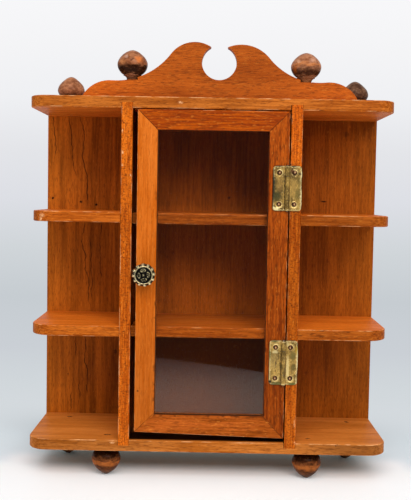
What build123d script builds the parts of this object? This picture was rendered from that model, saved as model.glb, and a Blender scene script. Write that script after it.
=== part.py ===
"""Thimble display case: an open-sided curio shelf with a glazed door, on four turned feet.

The origin is on the ground, under the middle of the case's outer box.
+X is to the right, +Y to the back and +Z up. The door faces -Y. All sizes are in millimetres.
"""
from build123d import *
from math import sqrt
import os

os.makedirs("parts", exist_ok=True)

# ---------------------------------------------------------------------------
# Driving dimensions
# ---------------------------------------------------------------------------
# Stock
board_thickness = 6.35
shelf_thickness = 6.0
panel_thickness = 3.2

# Case
case_width = 203.2
case_height = 198.4
board_depth = 59.5
board_corner = 11.0
arris = 0.7
bay_width = 87.3
housing_depth = 3.0
left_housing_slack = 0.0
right_housing_slack = 0.35

# Shelves: height of each underside above the underside of the bottom board
lower_shelf_rise = 64.9
upper_shelf_rise = 128.7
centre_shelf_drop = 0.5
shelf_corner = 14.0
shelf_end_taper = 1.2

# Turned feet and finials
turning_height = 16.6
turning_equator = 8.25
collar_radius = 4.3
collar_height = 1.9
collar_step = 0.1
neck_radius = 3.2
neck_height = 0.4
neck_flare = (3.5, 1.3)
# Form of each kind: the radius at its equator, the middles of the arcs below and above the equator, as
# a radius and a height above its seat, and the radius of its tip.
front_finial_form = (8.4, (7.25, 5.3), (7.45, 12.2), 5.8)
rear_finial_form = (8.1, (7.1, 5.3), (7.0, 12.1), 4.7)
foot_form = (8.25, (7.75, 4.95), (7.1, 12.1), 4.6)
foot_height = 16.3
front_turning_x = 57.6
rear_turning_x = 85.9
front_turning_setback = 11.1
rear_turning_setback = 50.3

# Pediment
pediment_shift = 3.4
pediment_setback = 3.0
scroll_hole_radius = 9.6
scroll_hole_height = 19.4
scroll_tip_x = 4.6
shoulder_x = 48.1
shoulder_height = 9.3
finial_seat_radius = 4.5
# Outline of each half, from its foot up: the ends and middles of three arcs, the last ending at the
# scroll's tip. Each point is a distance from the middle of the board and a height above its foot.
left_scroll = ((75.5, 0.0), (68.6, 6.75), (59.2, 8.8), (40.8, 12.4), (26.3, 24.35), (16.1, 30.2))
right_scroll = ((76.75, 0.0), (69.6, 7.35), (59.5, 9.45), (41.7, 11.9), (27.25, 22.7), (16.75, 28.85))

# Door
door_left_gap = 2.75
door_right_gap = 0.7
door_top_gap = 0.6
door_bottom_gap_left = 4.9
door_bottom_gap_right = 2.6
door_thickness = 4.8
stile_width = 11.4
bottom_rail_rise = 15.35
glass_lip = 1.8
glass_thickness = 1.6
rabbet = 3.0
glass_play = 0.3
door_arris = 0.45
door_stop_gap = 0.3

# Hinges
leaf_thickness = 0.8
leaf_reach = 8.0
leaf_height = 25.0
leaf_corner = 1.5
barrel_radius = 1.4
barrel_lift = 0.3
barrel_side_gap = 0.15
knuckle_gap = 0.3
outer_knuckle = 5.7
hinge_pin_radius = 0.7
hinge_running_clearance = 0.05
pin_end = 0.3
hinge_axis_x = 42.0
hinge_half_spacing = 48.5
hinge_rise = 1.5
nail_reach_door = 4.4
nail_reach_frame = 3.9
nail_rise = 8.7

# Knob: heights stand out from the face of the door
knob_radius = 6.35
knob_projection = 9.5
knob_lobes = 12
knob_foot_radius = 3.25
knob_foot_height = 0.9
knob_stem_radius = 2.25
knob_stem_start = 1.5
knob_stem_end = 3.0
knob_cup_middle = (3.4, 5.0)
knob_cup_edge = (5.9, 6.0)
knob_rim_back = 6.5
knob_rim_front = 7.3
knob_ring_radius = 4.75
knob_ring_half_width = 0.45
knob_ring_foot = 8.3
knob_ring_crown = 8.8
knob_dish_radius = 4.1
knob_dish_height = 7.9
knob_boss_radius = 0.9
knob_boss_shoulder = 9.1
knob_boss_top_radius = 0.5
knob_petal_reach = 1.2
knob_petal_breadth = 1.4
knob_petal_sink = 0.2
knob_petal_height = 1.0
knob_petal_orbit = 2.5
knob_scallop_start = 3.5
knob_scallop_radius = 0.95
knob_x = -36.0
knob_rise = 100.5
screw_radius = 1.0
screw_head_radius = 2.2
screw_head_height = 1.2
screw_bite = 5.0
screw_slot = 0.6

# Nails, brads and pins
brad_radius = 0.5
brad_head_radius = 0.8
brad_length = 12.0
foot_nail_radius = 0.6
foot_nail_head_radius = 1.1
foot_nail_length = 14.0
nail_head_height = 0.4
nail_set = 0.3
hinge_nail_radius = 0.55
hinge_nail_head_radius = 1.4
hinge_nail_head_height = 0.8
door_hinge_nail_length = 4.0
frame_hinge_nail_length = 8.0
finial_pin_length = 12.0
side_shelf_brad_x = 75.0
pediment_brad_x = 30.0
board_brad_x = (-92.0, -23.0, 23.0, 92.0)

# ---------------------------------------------------------------------------
# Places worked out from the dimensions
# ---------------------------------------------------------------------------
case_depth = board_depth + panel_thickness
front_y = -(case_depth - knob_projection) / 2
panel_y = front_y + board_depth
back_y = front_y + case_depth
half_width = case_width / 2

base_z = foot_height
floor_z = base_z + board_thickness
top_z = base_z + case_height
ceiling_z = top_z - board_thickness

upright_inner_x = bay_width / 2
upright_outer_x = upright_inner_x + board_thickness
upright_mid_x = upright_inner_x + board_thickness / 2

lower_shelf_z = base_z + lower_shelf_rise
upper_shelf_z = base_z + upper_shelf_rise
centre_shelf_y = front_y + door_thickness + door_stop_gap

door_left_x = -upright_inner_x + door_left_gap
door_right_x = upright_inner_x - door_right_gap
door_top_z = ceiling_z - door_top_gap
door_left_z = floor_z + door_bottom_gap_left
door_right_z = floor_z + door_bottom_gap_right
door_back_y = front_y + door_thickness
sight_left_x = door_left_x + stile_width
sight_right_x = door_right_x - stile_width
sight_top_z = door_top_z - stile_width
sight_bottom_z = floor_z + bottom_rail_rise
sight_mid_x = (sight_left_x + sight_right_x) / 2
sight_mid_z = (sight_top_z + sight_bottom_z) / 2
sight_width = sight_right_x - sight_left_x
sight_height = sight_top_z - sight_bottom_z

hinge_axis_y = front_y - barrel_lift - barrel_radius
hinge_mid_z = base_z + case_height / 2 + hinge_rise
hinge_heights = {"upper": hinge_mid_z + hinge_half_spacing, "lower": hinge_mid_z - hinge_half_spacing}

pediment_y = front_y + pediment_setback
pediment_mid_y = pediment_y + board_thickness / 2
knob_z = base_z + knob_rise

foot_spots = {
    "front_left": (-front_turning_x, front_y + front_turning_setback),
    "front_right": (front_turning_x, front_y + front_turning_setback),
    "rear_left": (-rear_turning_x, front_y + rear_turning_setback),
    "rear_right": (rear_turning_x, front_y + rear_turning_setback),
}
foot_planes = {
    corner: Plane(origin=(x, y, base_z), z_dir=(0, 0, -1)) for corner, (x, y) in foot_spots.items()
}
rear_finial_planes = {
    corner: Plane(origin=(*foot_spots[corner], top_z)) for corner in ("rear_left", "rear_right")
}
finial_seat_z = top_z + shoulder_height
front_finial_planes = {
    "front_left": Plane(origin=(pediment_shift - shoulder_x, pediment_mid_y, finial_seat_z)),
    "front_right": Plane(origin=(pediment_shift + shoulder_x, pediment_mid_y, finial_seat_z)),
}

on_base = (Align.CENTER, Align.CENTER, Align.MIN)
front_plane = Plane.XZ.offset(-front_y)


# ---------------------------------------------------------------------------
# Nails, brads and pins: each group is a set of separate solids
# ---------------------------------------------------------------------------
def straight_nails(heads, drive, head_radius, shank_radius, length):
    """Flat-headed nails whose head tops are at the given points, driven along one direction."""
    with BuildPart() as nails:
        with Locations(*[Plane(origin=head, z_dir=drive) for head in heads]):
            Cylinder(head_radius, nail_head_height, align=on_base)
            Cylinder(shank_radius, length, align=on_base)
    return nails


def round_head_nails(seats, length):
    """Round-headed nails driven to the back (+Y), each head standing on the seat point."""
    with BuildPart() as nails:
        for seat in seats:
            with BuildSketch(Plane(origin=seat, x_dir=(1, 0, 0), z_dir=(0, 0, 1))):
                with BuildLine():
                    Polyline(
                        (0, -hinge_nail_head_height),
                        (0, length),
                        (hinge_nail_radius, length - 2 * hinge_nail_radius),
                        (hinge_nail_radius, 0),
                        (hinge_nail_head_radius, 0),
                    )
                    EllipticalCenterArc(
                        (0, 0),
                        hinge_nail_head_radius,
                        hinge_nail_head_height,
                        start_angle=-90,
                        arc_size=90,
                    )
                make_face()
            revolve(axis=Axis(seat, (0, 1, 0)))
    return nails


shelf_brad_rise = shelf_thickness / 2
board_brad_rise = board_thickness / 2
upright_brad_zs = (
    (floor_z + lower_shelf_z) / 2,
    (upper_shelf_z + shelf_thickness + ceiling_z) / 2,
)
back_brad_heads = [(x, back_y, base_z + board_brad_rise) for x in board_brad_x]
back_brad_heads += [(x, back_y, top_z - board_brad_rise) for x in board_brad_x]
back_brad_heads += [(side * upright_mid_x, back_y, z) for side in (-1, 1) for z in upright_brad_zs]
for shelf_z in (lower_shelf_z, upper_shelf_z):
    for x in (-side_shelf_brad_x, side_shelf_brad_x):
        back_brad_heads.append((x, back_y, shelf_z + shelf_brad_rise))
    back_brad_heads.append((0, back_y, shelf_z - centre_shelf_drop + shelf_brad_rise))
back_panel_brads = straight_nails(back_brad_heads, (0, -1, 0), brad_head_radius, brad_radius, brad_length)

foot_nails = straight_nails(
    [(x, y, floor_z - nail_set) for x, y in foot_spots.values()],
    (0, 0, -1),
    foot_nail_head_radius,
    foot_nail_radius,
    foot_nail_length,
)
rear_finial_nails = straight_nails(
    [(*foot_spots[corner], ceiling_z) for corner in rear_finial_planes],
    (0, 0, 1),
    foot_nail_head_radius,
    foot_nail_radius,
    foot_nail_length,
)
pediment_brads = straight_nails(
    [(pediment_shift + side * pediment_brad_x, pediment_mid_y, ceiling_z) for side in (-1, 1)],
    (0, 0, 1),
    brad_head_radius,
    brad_radius,
    brad_length,
)
with BuildPart() as front_finial_pins:
    with Locations(*front_finial_planes.values()):
        Cylinder(foot_nail_radius, finial_pin_length)

with BuildPart() as door_corner_brads:
    with Locations(
        *[
            Plane(origin=(edge_x, front_y + door_thickness / 2, z), z_dir=(drive, 0, 0))
            for edge_x, drive in ((door_left_x, 1), (door_right_x, -1))
            for z in (door_top_z - stile_width / 2, sight_bottom_z - stile_width / 2)
        ]
    ):
        Cylinder(brad_radius, brad_length, align=on_base)


def hinge_nail_seats(side, reach):
    """The two places where the nails of one leaf stand on its front face, for each hinge."""
    return {
        name: [
            (hinge_axis_x + side * reach, front_y - leaf_thickness, middle_z + end * nail_rise)
            for end in (-1, 1)
        ]
        for name, middle_z in hinge_heights.items()
    }


door_nail_seats = hinge_nail_seats(-1, nail_reach_door)
frame_nail_seats = hinge_nail_seats(1, nail_reach_frame)
upper_hinge_door_nails = round_head_nails(door_nail_seats["upper"], door_hinge_nail_length)
lower_hinge_door_nails = round_head_nails(door_nail_seats["lower"], door_hinge_nail_length)
upper_hinge_frame_nails = round_head_nails(frame_nail_seats["upper"], frame_hinge_nail_length)
lower_hinge_frame_nails = round_head_nails(frame_nail_seats["lower"], frame_hinge_nail_length)


# ---------------------------------------------------------------------------
# Top and bottom boards: rounded front corners, with housings for the uprights
# ---------------------------------------------------------------------------
def case_board(underside_z, housing_z, nail_groups):
    """A full-width board with a housing for each upright, open to the front edge."""
    with BuildPart() as board:
        with BuildSketch(Plane.XY.offset(underside_z)) as outline:
            with Locations((0, front_y + board_depth / 2)):
                Rectangle(case_width, board_depth)
            fillet(outline.vertices().group_by(Axis.Y)[0], board_corner)
        extrude(amount=board_thickness)
        rims = board.faces().filter_by(Axis.Z).edges()
        fillet(rims.filter_by(lambda edge: edge.center().Y < panel_y - arris), arris)
        for side, slack in ((-1, left_housing_slack), (1, right_housing_slack)):
            housing_width = board_thickness + slack
            housing_x = side * (upright_outer_x - housing_width / 2)
            with Locations((housing_x, front_y + board_depth / 2, housing_z)):
                Box(housing_width, board_depth, housing_depth, align=on_base, mode=Mode.SUBTRACT)
        for nails in nail_groups:
            add(nails.part, mode=Mode.SUBTRACT)
        with Locations(*[(x, y, floor_z - nail_set) for x, y in foot_spots.values()]):
            Cylinder(foot_nail_head_radius, nail_set, align=on_base, mode=Mode.SUBTRACT)
    return board


top_board = case_board(ceiling_z, ceiling_z, [back_panel_brads, rear_finial_nails, pediment_brads])
bottom_board = case_board(base_z, floor_z - housing_depth, [back_panel_brads, foot_nails])


# ---------------------------------------------------------------------------
# Uprights, let into the boards at both ends
# ---------------------------------------------------------------------------
def upright(side, nail_groups):
    """One upright, with its front arrises eased."""
    with BuildPart() as post:
        with Locations((side * upright_mid_x, front_y + board_depth / 2, floor_z - housing_depth)):
            Box(
                board_thickness,
                board_depth,
                ceiling_z - floor_z + 2 * housing_depth,
                align=on_base,
            )
        fillet(post.faces().sort_by(Axis.Y)[0].edges().filter_by(Axis.Z), arris)
        for nails in nail_groups:
            add(nails.part, mode=Mode.SUBTRACT)
    return post


left_upright = upright(-1, [back_panel_brads])
right_upright = upright(1, [back_panel_brads, upper_hinge_frame_nails, lower_hinge_frame_nails])

# ---------------------------------------------------------------------------
# Back panel, nailed over the back edges of the case
# ---------------------------------------------------------------------------
with BuildPart() as back_panel:
    with Locations((0, (panel_y + back_y) / 2, base_z)):
        Box(case_width, panel_thickness, case_height, align=on_base)
    add(back_panel_brads.part, mode=Mode.SUBTRACT)


# ---------------------------------------------------------------------------
# Shelves
# ---------------------------------------------------------------------------
def side_shelf(side, underside_z):
    """An open-ended shelf outside one upright, rounded at its outer front corner."""
    end_x = half_width
    with BuildPart() as shelf:
        with BuildSketch(Plane.XY.offset(underside_z)) as outline:
            with BuildLine():
                Polyline(
                    (side * upright_outer_x, front_y),
                    (side * (end_x - shelf_end_taper), front_y),
                    (side * end_x, panel_y),
                    (side * upright_outer_x, panel_y),
                    close=True,
                )
            make_face()
            corner = outline.vertices().group_by(Axis.Y)[0].sort_by(lambda v: side * v.X)[-1]
            fillet(corner, shelf_corner)
        extrude(amount=shelf_thickness)
        rims = shelf.faces().filter_by(Axis.Z).edges()
        in_front = rims.filter_by(lambda edge: edge.center().Y < panel_y - arris)
        exposed = in_front.filter_by(lambda edge: side * edge.center().X > upright_outer_x + arris)
        fillet(exposed, arris)
        add(back_panel_brads.part, mode=Mode.SUBTRACT)
    return shelf


def centre_shelf(underside_z):
    """A shelf between the uprights, set back so that the door closes against it."""
    depth = panel_y - centre_shelf_y
    with BuildPart() as shelf:
        with Locations((0, centre_shelf_y + depth / 2, underside_z)):
            Box(bay_width, depth, shelf_thickness, align=on_base)
        fillet(shelf.faces().sort_by(Axis.Y)[0].edges().filter_by(Axis.X), arris)
        add(back_panel_brads.part, mode=Mode.SUBTRACT)
    return shelf


lower_left_shelf = side_shelf(-1, lower_shelf_z)
upper_left_shelf = side_shelf(-1, upper_shelf_z)
lower_right_shelf = side_shelf(1, lower_shelf_z)
upper_right_shelf = side_shelf(1, upper_shelf_z)
lower_centre_shelf = centre_shelf(lower_shelf_z - centre_shelf_drop)
upper_centre_shelf = centre_shelf(upper_shelf_z - centre_shelf_drop)

# ---------------------------------------------------------------------------
# Pediment: a broken swan-neck board with a round opening between its scrolls
# ---------------------------------------------------------------------------
scroll_tip_height = scroll_hole_height + sqrt(scroll_hole_radius**2 - scroll_tip_x**2)
pediment_plane = Plane(origin=(pediment_shift, pediment_y, top_z), x_dir=(1, 0, 0), z_dir=(0, -1, 0))


def scroll(side, outline):
    """The outer edge of one half: three arcs, from the foot of the board up to the tip of its scroll."""
    points = [(side * x, height) for x, height in outline]
    points.append((side * scroll_tip_x, scroll_tip_height))
    for start in (0, 2, 4):
        ThreePointArc(*points[start : start + 3])


with BuildPart() as pediment:
    with BuildSketch(pediment_plane):
        with BuildLine():
            scroll(-1, left_scroll)
            scroll(1, right_scroll)
            ThreePointArc(
                (-scroll_tip_x, scroll_tip_height),
                (0, scroll_hole_height - scroll_hole_radius),
                (scroll_tip_x, scroll_tip_height),
            )
            Line((-left_scroll[0][0], 0), (right_scroll[0][0], 0))
        make_face()
    extrude(amount=-board_thickness)
    with Locations(*front_finial_planes.values()):
        Cylinder(finial_seat_radius, turning_height, align=on_base, mode=Mode.SUBTRACT)
    add(front_finial_pins.part, mode=Mode.SUBTRACT)
    add(pediment_brads.part, mode=Mode.SUBTRACT)


# ---------------------------------------------------------------------------
# Turned finials and feet: acorns that stand up or hang down
# ---------------------------------------------------------------------------
def turning(seat, form, nails):
    """An acorn on a short flared neck, standing on its seat plane and pointing along its normal."""
    profile = Plane(origin=seat.origin, x_dir=seat.x_dir, z_dir=-seat.y_dir)
    collar_edge = (collar_radius, collar_height)
    bulb_start = (collar_radius - collar_step, collar_height + 4 * collar_step)
    bulb_radius, lower_middle, upper_middle, tip_radius = form
    equator = (bulb_radius, turning_equator)
    tip_edge = (tip_radius * sqrt(0.5), turning_height - tip_radius * (1 - sqrt(0.5)))
    with BuildPart() as acorn:
        with BuildSketch(profile):
            with BuildLine():
                Polyline((0, turning_height), (0, 0), (neck_radius, 0), (neck_radius, neck_height))
                ThreePointArc((neck_radius, neck_height), neck_flare, collar_edge)
                Line(collar_edge, bulb_start)
                ThreePointArc(bulb_start, lower_middle, equator)
                ThreePointArc(equator, upper_middle, tip_edge)
                CenterArc((0, turning_height - tip_radius), tip_radius, start_angle=45, arc_size=45)
            make_face()
        revolve(axis=Axis(seat.origin, seat.z_dir))
        add(nails.part, mode=Mode.SUBTRACT)
    return acorn


def foot(seat):
    """A turning hung from its seat, with its tip cut flat where it stands on the ground."""
    with BuildPart() as acorn:
        add(turning(seat, foot_form, foot_nails).part)
        split(bisect_by=Plane.XY, keep=Keep.TOP)
    return acorn


feet = {f"{corner}_foot": foot(seat) for corner, seat in foot_planes.items()}
rear_finials = {
    f"{corner}_finial": turning(seat, rear_finial_form, rear_finial_nails)
    for corner, seat in rear_finial_planes.items()
}
front_finials = {
    f"{corner}_finial": turning(seat, front_finial_form, front_finial_pins)
    for corner, seat in front_finial_planes.items()
}

# ---------------------------------------------------------------------------
# Door frame: four mitred members, rabbeted behind for the glass
# ---------------------------------------------------------------------------
outer_left_low = (door_left_x, door_left_z)
outer_right_low = (door_right_x, door_right_z)
outer_left_high = (door_left_x, door_top_z)
outer_right_high = (door_right_x, door_top_z)
inner_left_low = (sight_left_x, sight_bottom_z)
inner_right_low = (sight_right_x, sight_bottom_z)
inner_left_high = (sight_left_x, sight_top_z)
inner_right_high = (sight_right_x, sight_top_z)


def door_member(corners, nail_groups):
    """One mitred member: its outline on the front plane, less the rabbet behind it."""
    with BuildPart() as member:
        with BuildSketch(front_plane):
            with BuildLine():
                Polyline(*corners, close=True)
            make_face()
        extrude(amount=-door_thickness)
        outside = member.faces().sort_by(Axis.Y)[0].edges().sort_by(lambda edge: edge.length)[-1]
        fillet(outside, door_arris)
        with Locations((sight_mid_x, front_y + glass_lip + door_thickness / 2, sight_mid_z)):
            Box(
                sight_width + 2 * rabbet,
                door_thickness,
                sight_height + 2 * rabbet,
                mode=Mode.SUBTRACT,
            )
        for nails in nail_groups:
            add(nails.part, mode=Mode.SUBTRACT)
    return member


with BuildPart() as knob_screw:
    with Locations(Plane(origin=(knob_x, door_back_y + screw_head_height, knob_z), z_dir=(0, -1, 0))):
        Cylinder(screw_head_radius, screw_head_height, align=on_base)
        Cylinder(screw_radius, screw_head_height + door_thickness + screw_bite, align=on_base)
    fillet(knob_screw.faces().sort_by(Axis.Y)[-1].edges(), screw_head_height / 2)
    with Locations((knob_x, door_back_y + screw_head_height, knob_z)):
        Box(2 * screw_head_radius, screw_head_height, screw_slot, mode=Mode.SUBTRACT)

door_left_stile = door_member(
    [outer_left_low, outer_left_high, inner_left_high, inner_left_low],
    [knob_screw, door_corner_brads],
)
door_right_stile = door_member(
    [outer_right_low, outer_right_high, inner_right_high, inner_right_low],
    [door_corner_brads, upper_hinge_door_nails, lower_hinge_door_nails],
)
door_top_rail = door_member(
    [outer_left_high, outer_right_high, inner_right_high, inner_left_high], [door_corner_brads]
)
door_bottom_rail = door_member(
    [outer_left_low, outer_right_low, inner_right_low, inner_left_low], [door_corner_brads]
)

# ---------------------------------------------------------------------------
# Glass and the strips that hold it in the rabbet
# ---------------------------------------------------------------------------
glass_margin = rabbet - glass_play
with BuildPart() as door_glass:
    with Locations((sight_mid_x, front_y + glass_lip + glass_thickness / 2, sight_mid_z)):
        Box(sight_width + 2 * glass_margin, glass_thickness, sight_height + 2 * glass_margin)

strip_thickness = door_thickness - glass_lip - glass_thickness
strip_mid_y = door_back_y - strip_thickness / 2


def glass_strip(x, z, length_x, length_z):
    """One thin strip behind the glass, flush with the back of the door."""
    with BuildPart() as strip:
        with Locations((x, strip_mid_y, z)):
            Box(length_x, strip_thickness, length_z)
    return strip


strip_offset_x = sight_width / 2 + rabbet / 2
strip_offset_z = sight_height / 2 + rabbet / 2
strip_height = sight_height + 2 * rabbet
glass_strip_left = glass_strip(sight_mid_x - strip_offset_x, sight_mid_z, rabbet, strip_height)
glass_strip_right = glass_strip(sight_mid_x + strip_offset_x, sight_mid_z, rabbet, strip_height)
glass_strip_top = glass_strip(sight_mid_x, sight_mid_z + strip_offset_z, sight_width, rabbet)
glass_strip_bottom = glass_strip(sight_mid_x, sight_mid_z - strip_offset_z, sight_width, rabbet)

# ---------------------------------------------------------------------------
# Knob: a cast rosette on a stem, with a scalloped rim, a ring and four petals round a boss
# ---------------------------------------------------------------------------
with BuildPart() as door_knob:
    with BuildSketch(Plane(origin=(knob_x, front_y, knob_z), x_dir=(1, 0, 0), z_dir=(0, 0, -1))):
        with BuildLine():
            Polyline(
                (knob_stem_radius, knob_stem_end),
                (knob_stem_radius, knob_stem_start),
                (knob_foot_radius, knob_foot_height),
                (knob_foot_radius, 0),
                (0, 0),
                (0, knob_projection),
                (knob_boss_top_radius, knob_projection),
                (knob_boss_radius, knob_boss_shoulder),
                (knob_boss_radius, knob_dish_height),
                (knob_dish_radius, knob_dish_height),
                (knob_ring_radius - knob_ring_half_width, knob_ring_foot),
            )
            ThreePointArc(
                (knob_ring_radius - knob_ring_half_width, knob_ring_foot),
                (knob_ring_radius, knob_ring_crown),
                (knob_ring_radius + knob_ring_half_width, knob_ring_foot),
            )
            Polyline(
                (knob_ring_radius + knob_ring_half_width, knob_ring_foot),
                (knob_radius, knob_rim_front),
                (knob_radius, knob_rim_back),
                knob_cup_edge,
            )
            ThreePointArc(knob_cup_edge, knob_cup_middle, (knob_stem_radius, knob_stem_end))
        make_face()
    revolve(axis=Axis((knob_x, front_y, knob_z), (0, 1, 0)))
    with BuildSketch(front_plane.offset(knob_scallop_start)):
        with Locations((knob_x, knob_z)):
            with PolarLocations(knob_radius + knob_scallop_radius / 2, knob_lobes):
                Circle(knob_scallop_radius)
    extrude(amount=knob_projection, mode=Mode.SUBTRACT)
    with BuildSketch(front_plane.offset(knob_dish_height - knob_petal_sink)):
        with Locations((knob_x, knob_z)):
            with PolarLocations(knob_petal_orbit, 4):
                Ellipse(knob_petal_reach, knob_petal_breadth)
    extrude(amount=knob_petal_height)
    add(knob_screw.part, mode=Mode.SUBTRACT)


# ---------------------------------------------------------------------------
# Butt hinges: leaves nailed on the faces of door and upright, with a through pin
# ---------------------------------------------------------------------------
def hinge_leaf(middle_z, side, knuckle_spans, bore_radius, nails):
    """One leaf on the given side of the axis, carrying the barrel over the given heights."""
    plate_inner = barrel_radius + barrel_side_gap
    with BuildPart() as leaf:
        with BuildSketch(front_plane) as plate:
            with Locations((hinge_axis_x + side * (leaf_reach + plate_inner) / 2, middle_z)):
                Rectangle(leaf_reach - plate_inner, leaf_height)
            fillet(plate.vertices().group_by(lambda v: side * v.X)[-1], leaf_corner)
        extrude(amount=leaf_thickness)
        for low, high in knuckle_spans:
            with Locations((hinge_axis_x, hinge_axis_y, middle_z + low)):
                Cylinder(barrel_radius, high - low, align=on_base)
            with Locations((hinge_axis_x + side * plate_inner / 2, front_y - barrel_lift, middle_z + low)):
                Box(
                    plate_inner,
                    leaf_thickness - barrel_lift,
                    high - low,
                    align=(Align.CENTER, Align.MAX, Align.MIN),
                )
            with Locations((hinge_axis_x, hinge_axis_y, middle_z + low)):
                Cylinder(bore_radius, high - low, align=on_base, mode=Mode.SUBTRACT)
        add(nails.part, mode=Mode.SUBTRACT)
    return leaf


middle_knuckle = leaf_height / 2 - outer_knuckle - knuckle_gap
outer_spans = [
    (-leaf_height / 2, -leaf_height / 2 + outer_knuckle),
    (leaf_height / 2 - outer_knuckle, leaf_height / 2),
]
middle_span = [(-middle_knuckle, middle_knuckle)]
frame_bore = hinge_pin_radius
door_bore = hinge_pin_radius + hinge_running_clearance
upper_z, lower_z = hinge_heights["upper"], hinge_heights["lower"]
upper_hinge_frame_leaf = hinge_leaf(upper_z, 1, outer_spans, frame_bore, upper_hinge_frame_nails)
lower_hinge_frame_leaf = hinge_leaf(lower_z, 1, outer_spans, frame_bore, lower_hinge_frame_nails)
upper_hinge_door_leaf = hinge_leaf(upper_z, -1, middle_span, door_bore, upper_hinge_door_nails)
lower_hinge_door_leaf = hinge_leaf(lower_z, -1, middle_span, door_bore, lower_hinge_door_nails)


def hinge_pin(middle_z):
    """The pin through all three knuckles, with rounded ends just proud of the barrel."""
    with BuildPart() as pin:
        with Locations((hinge_axis_x, hinge_axis_y, middle_z)):
            Cylinder(hinge_pin_radius, leaf_height + 2 * pin_end)
        fillet(pin.edges().filter_by(GeomType.CIRCLE), pin_end)
    return pin


upper_hinge_pin = hinge_pin(upper_z)
lower_hinge_pin = hinge_pin(lower_z)

# ---------------------------------------------------------------------------
# Output: one labelled STEP file for each piece
# ---------------------------------------------------------------------------
pieces = {
    "top_board": top_board,
    "bottom_board": bottom_board,
    "left_upright": left_upright,
    "right_upright": right_upright,
    "back_panel": back_panel,
    "lower_left_shelf": lower_left_shelf,
    "upper_left_shelf": upper_left_shelf,
    "lower_centre_shelf": lower_centre_shelf,
    "upper_centre_shelf": upper_centre_shelf,
    "lower_right_shelf": lower_right_shelf,
    "upper_right_shelf": upper_right_shelf,
    "pediment": pediment,
    **front_finials,
    **rear_finials,
    **feet,
    "foot_nails": foot_nails,
    "rear_finial_nails": rear_finial_nails,
    "front_finial_pins": front_finial_pins,
    "pediment_brads": pediment_brads,
    "back_panel_brads": back_panel_brads,
    "upper_hinge_frame_leaf": upper_hinge_frame_leaf,
    "lower_hinge_frame_leaf": lower_hinge_frame_leaf,
    "upper_hinge_frame_nails": upper_hinge_frame_nails,
    "lower_hinge_frame_nails": lower_hinge_frame_nails,
    "upper_hinge_pin": upper_hinge_pin,
    "lower_hinge_pin": lower_hinge_pin,
    "upper_hinge_door_leaf": upper_hinge_door_leaf,
    "lower_hinge_door_leaf": lower_hinge_door_leaf,
    "upper_hinge_door_nails": upper_hinge_door_nails,
    "lower_hinge_door_nails": lower_hinge_door_nails,
    "door_left_stile": door_left_stile,
    "door_right_stile": door_right_stile,
    "door_top_rail": door_top_rail,
    "door_bottom_rail": door_bottom_rail,
    "door_corner_brads": door_corner_brads,
    "door_glass": door_glass,
    "glass_strip_left": glass_strip_left,
    "glass_strip_right": glass_strip_right,
    "glass_strip_top": glass_strip_top,
    "glass_strip_bottom": glass_strip_bottom,
    "door_knob": door_knob,
    "knob_screw": knob_screw,
}
for name, piece in pieces.items():
    piece.part.label = name
    export_step(piece.part, f"parts/{name}.step")
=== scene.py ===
from math import atan2, cos, exp, hypot, pi, radians, sin

import bmesh
import bpy
from mathutils import Matrix, Vector, noise


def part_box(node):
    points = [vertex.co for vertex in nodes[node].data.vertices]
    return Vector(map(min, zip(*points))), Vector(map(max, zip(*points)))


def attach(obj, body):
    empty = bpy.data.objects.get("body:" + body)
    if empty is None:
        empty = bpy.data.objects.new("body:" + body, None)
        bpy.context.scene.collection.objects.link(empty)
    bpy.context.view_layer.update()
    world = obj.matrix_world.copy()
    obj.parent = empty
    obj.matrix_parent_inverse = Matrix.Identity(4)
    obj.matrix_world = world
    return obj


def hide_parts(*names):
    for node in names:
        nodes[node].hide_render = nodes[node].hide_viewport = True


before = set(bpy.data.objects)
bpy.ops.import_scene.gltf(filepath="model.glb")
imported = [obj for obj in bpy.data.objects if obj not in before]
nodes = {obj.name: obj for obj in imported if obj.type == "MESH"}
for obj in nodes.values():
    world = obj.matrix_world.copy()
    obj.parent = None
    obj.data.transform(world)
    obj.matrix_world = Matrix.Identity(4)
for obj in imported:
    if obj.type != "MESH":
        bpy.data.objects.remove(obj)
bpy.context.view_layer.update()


# ---------------------------------------------------------------------------
# Top and bottom boards
# Quarter-inch mahogany, sanded round at its edges and front corners, stained orange brown and
# lacquered. The grain runs from side to side, and the uprights are let into it.
# ---------------------------------------------------------------------------
front_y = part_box("bottom_board")[0].y
base_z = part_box("bottom_board")[0].z
floor_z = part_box("bottom_board")[1].z
ceiling_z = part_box("top_board")[0].z
top_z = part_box("top_board")[1].z


def tint(red, green, blue):
    """A colour from its display values, 0 to 255."""
    return [((value / 255 + 0.055) / 1.055) ** 2.4 for value in (red, green, blue)] + [1.0]


class Value:
    """What a shader node gives out. It can be added, subtracted and multiplied as a number is."""

    def __init__(self, socket):
        self.socket = socket
        self.tree = socket.id_data

    def __add__(self, other):
        return maths("ADD", self, other)

    def __sub__(self, other):
        return maths("SUBTRACT", self, other)

    def __rsub__(self, other):
        return maths("SUBTRACT", other, self)

    def __mul__(self, other):
        return maths("MULTIPLY", self, other)

    def __abs__(self):
        return maths("ABSOLUTE", self)

    __radd__, __rmul__ = __add__, __mul__


def plug(node, inputs):
    """Fills a node's inputs. A Value is linked, and anything else is set on the input itself."""
    for name, value in inputs.items():
        if isinstance(value, Value):
            node.id_data.links.new(value.socket, node.inputs[name])
        else:
            node.inputs[name].default_value = value


def output(tree, kind, result=0, inputs=None, **settings):
    """Adds a shader node and gives one of its results."""
    made = tree.nodes.new("ShaderNode" + kind)
    for name, value in settings.items():
        setattr(made, name, value)
    plug(made, inputs or {})
    return Value(made.outputs[result])


def maths(operation, first, second=0.5, clamp=False):
    """One number worked out from another, or from two."""
    tree = first.tree if isinstance(first, Value) else second.tree
    return output(tree, "Math", 0, {0: first, 1: second}, operation=operation, use_clamp=clamp)


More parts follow.
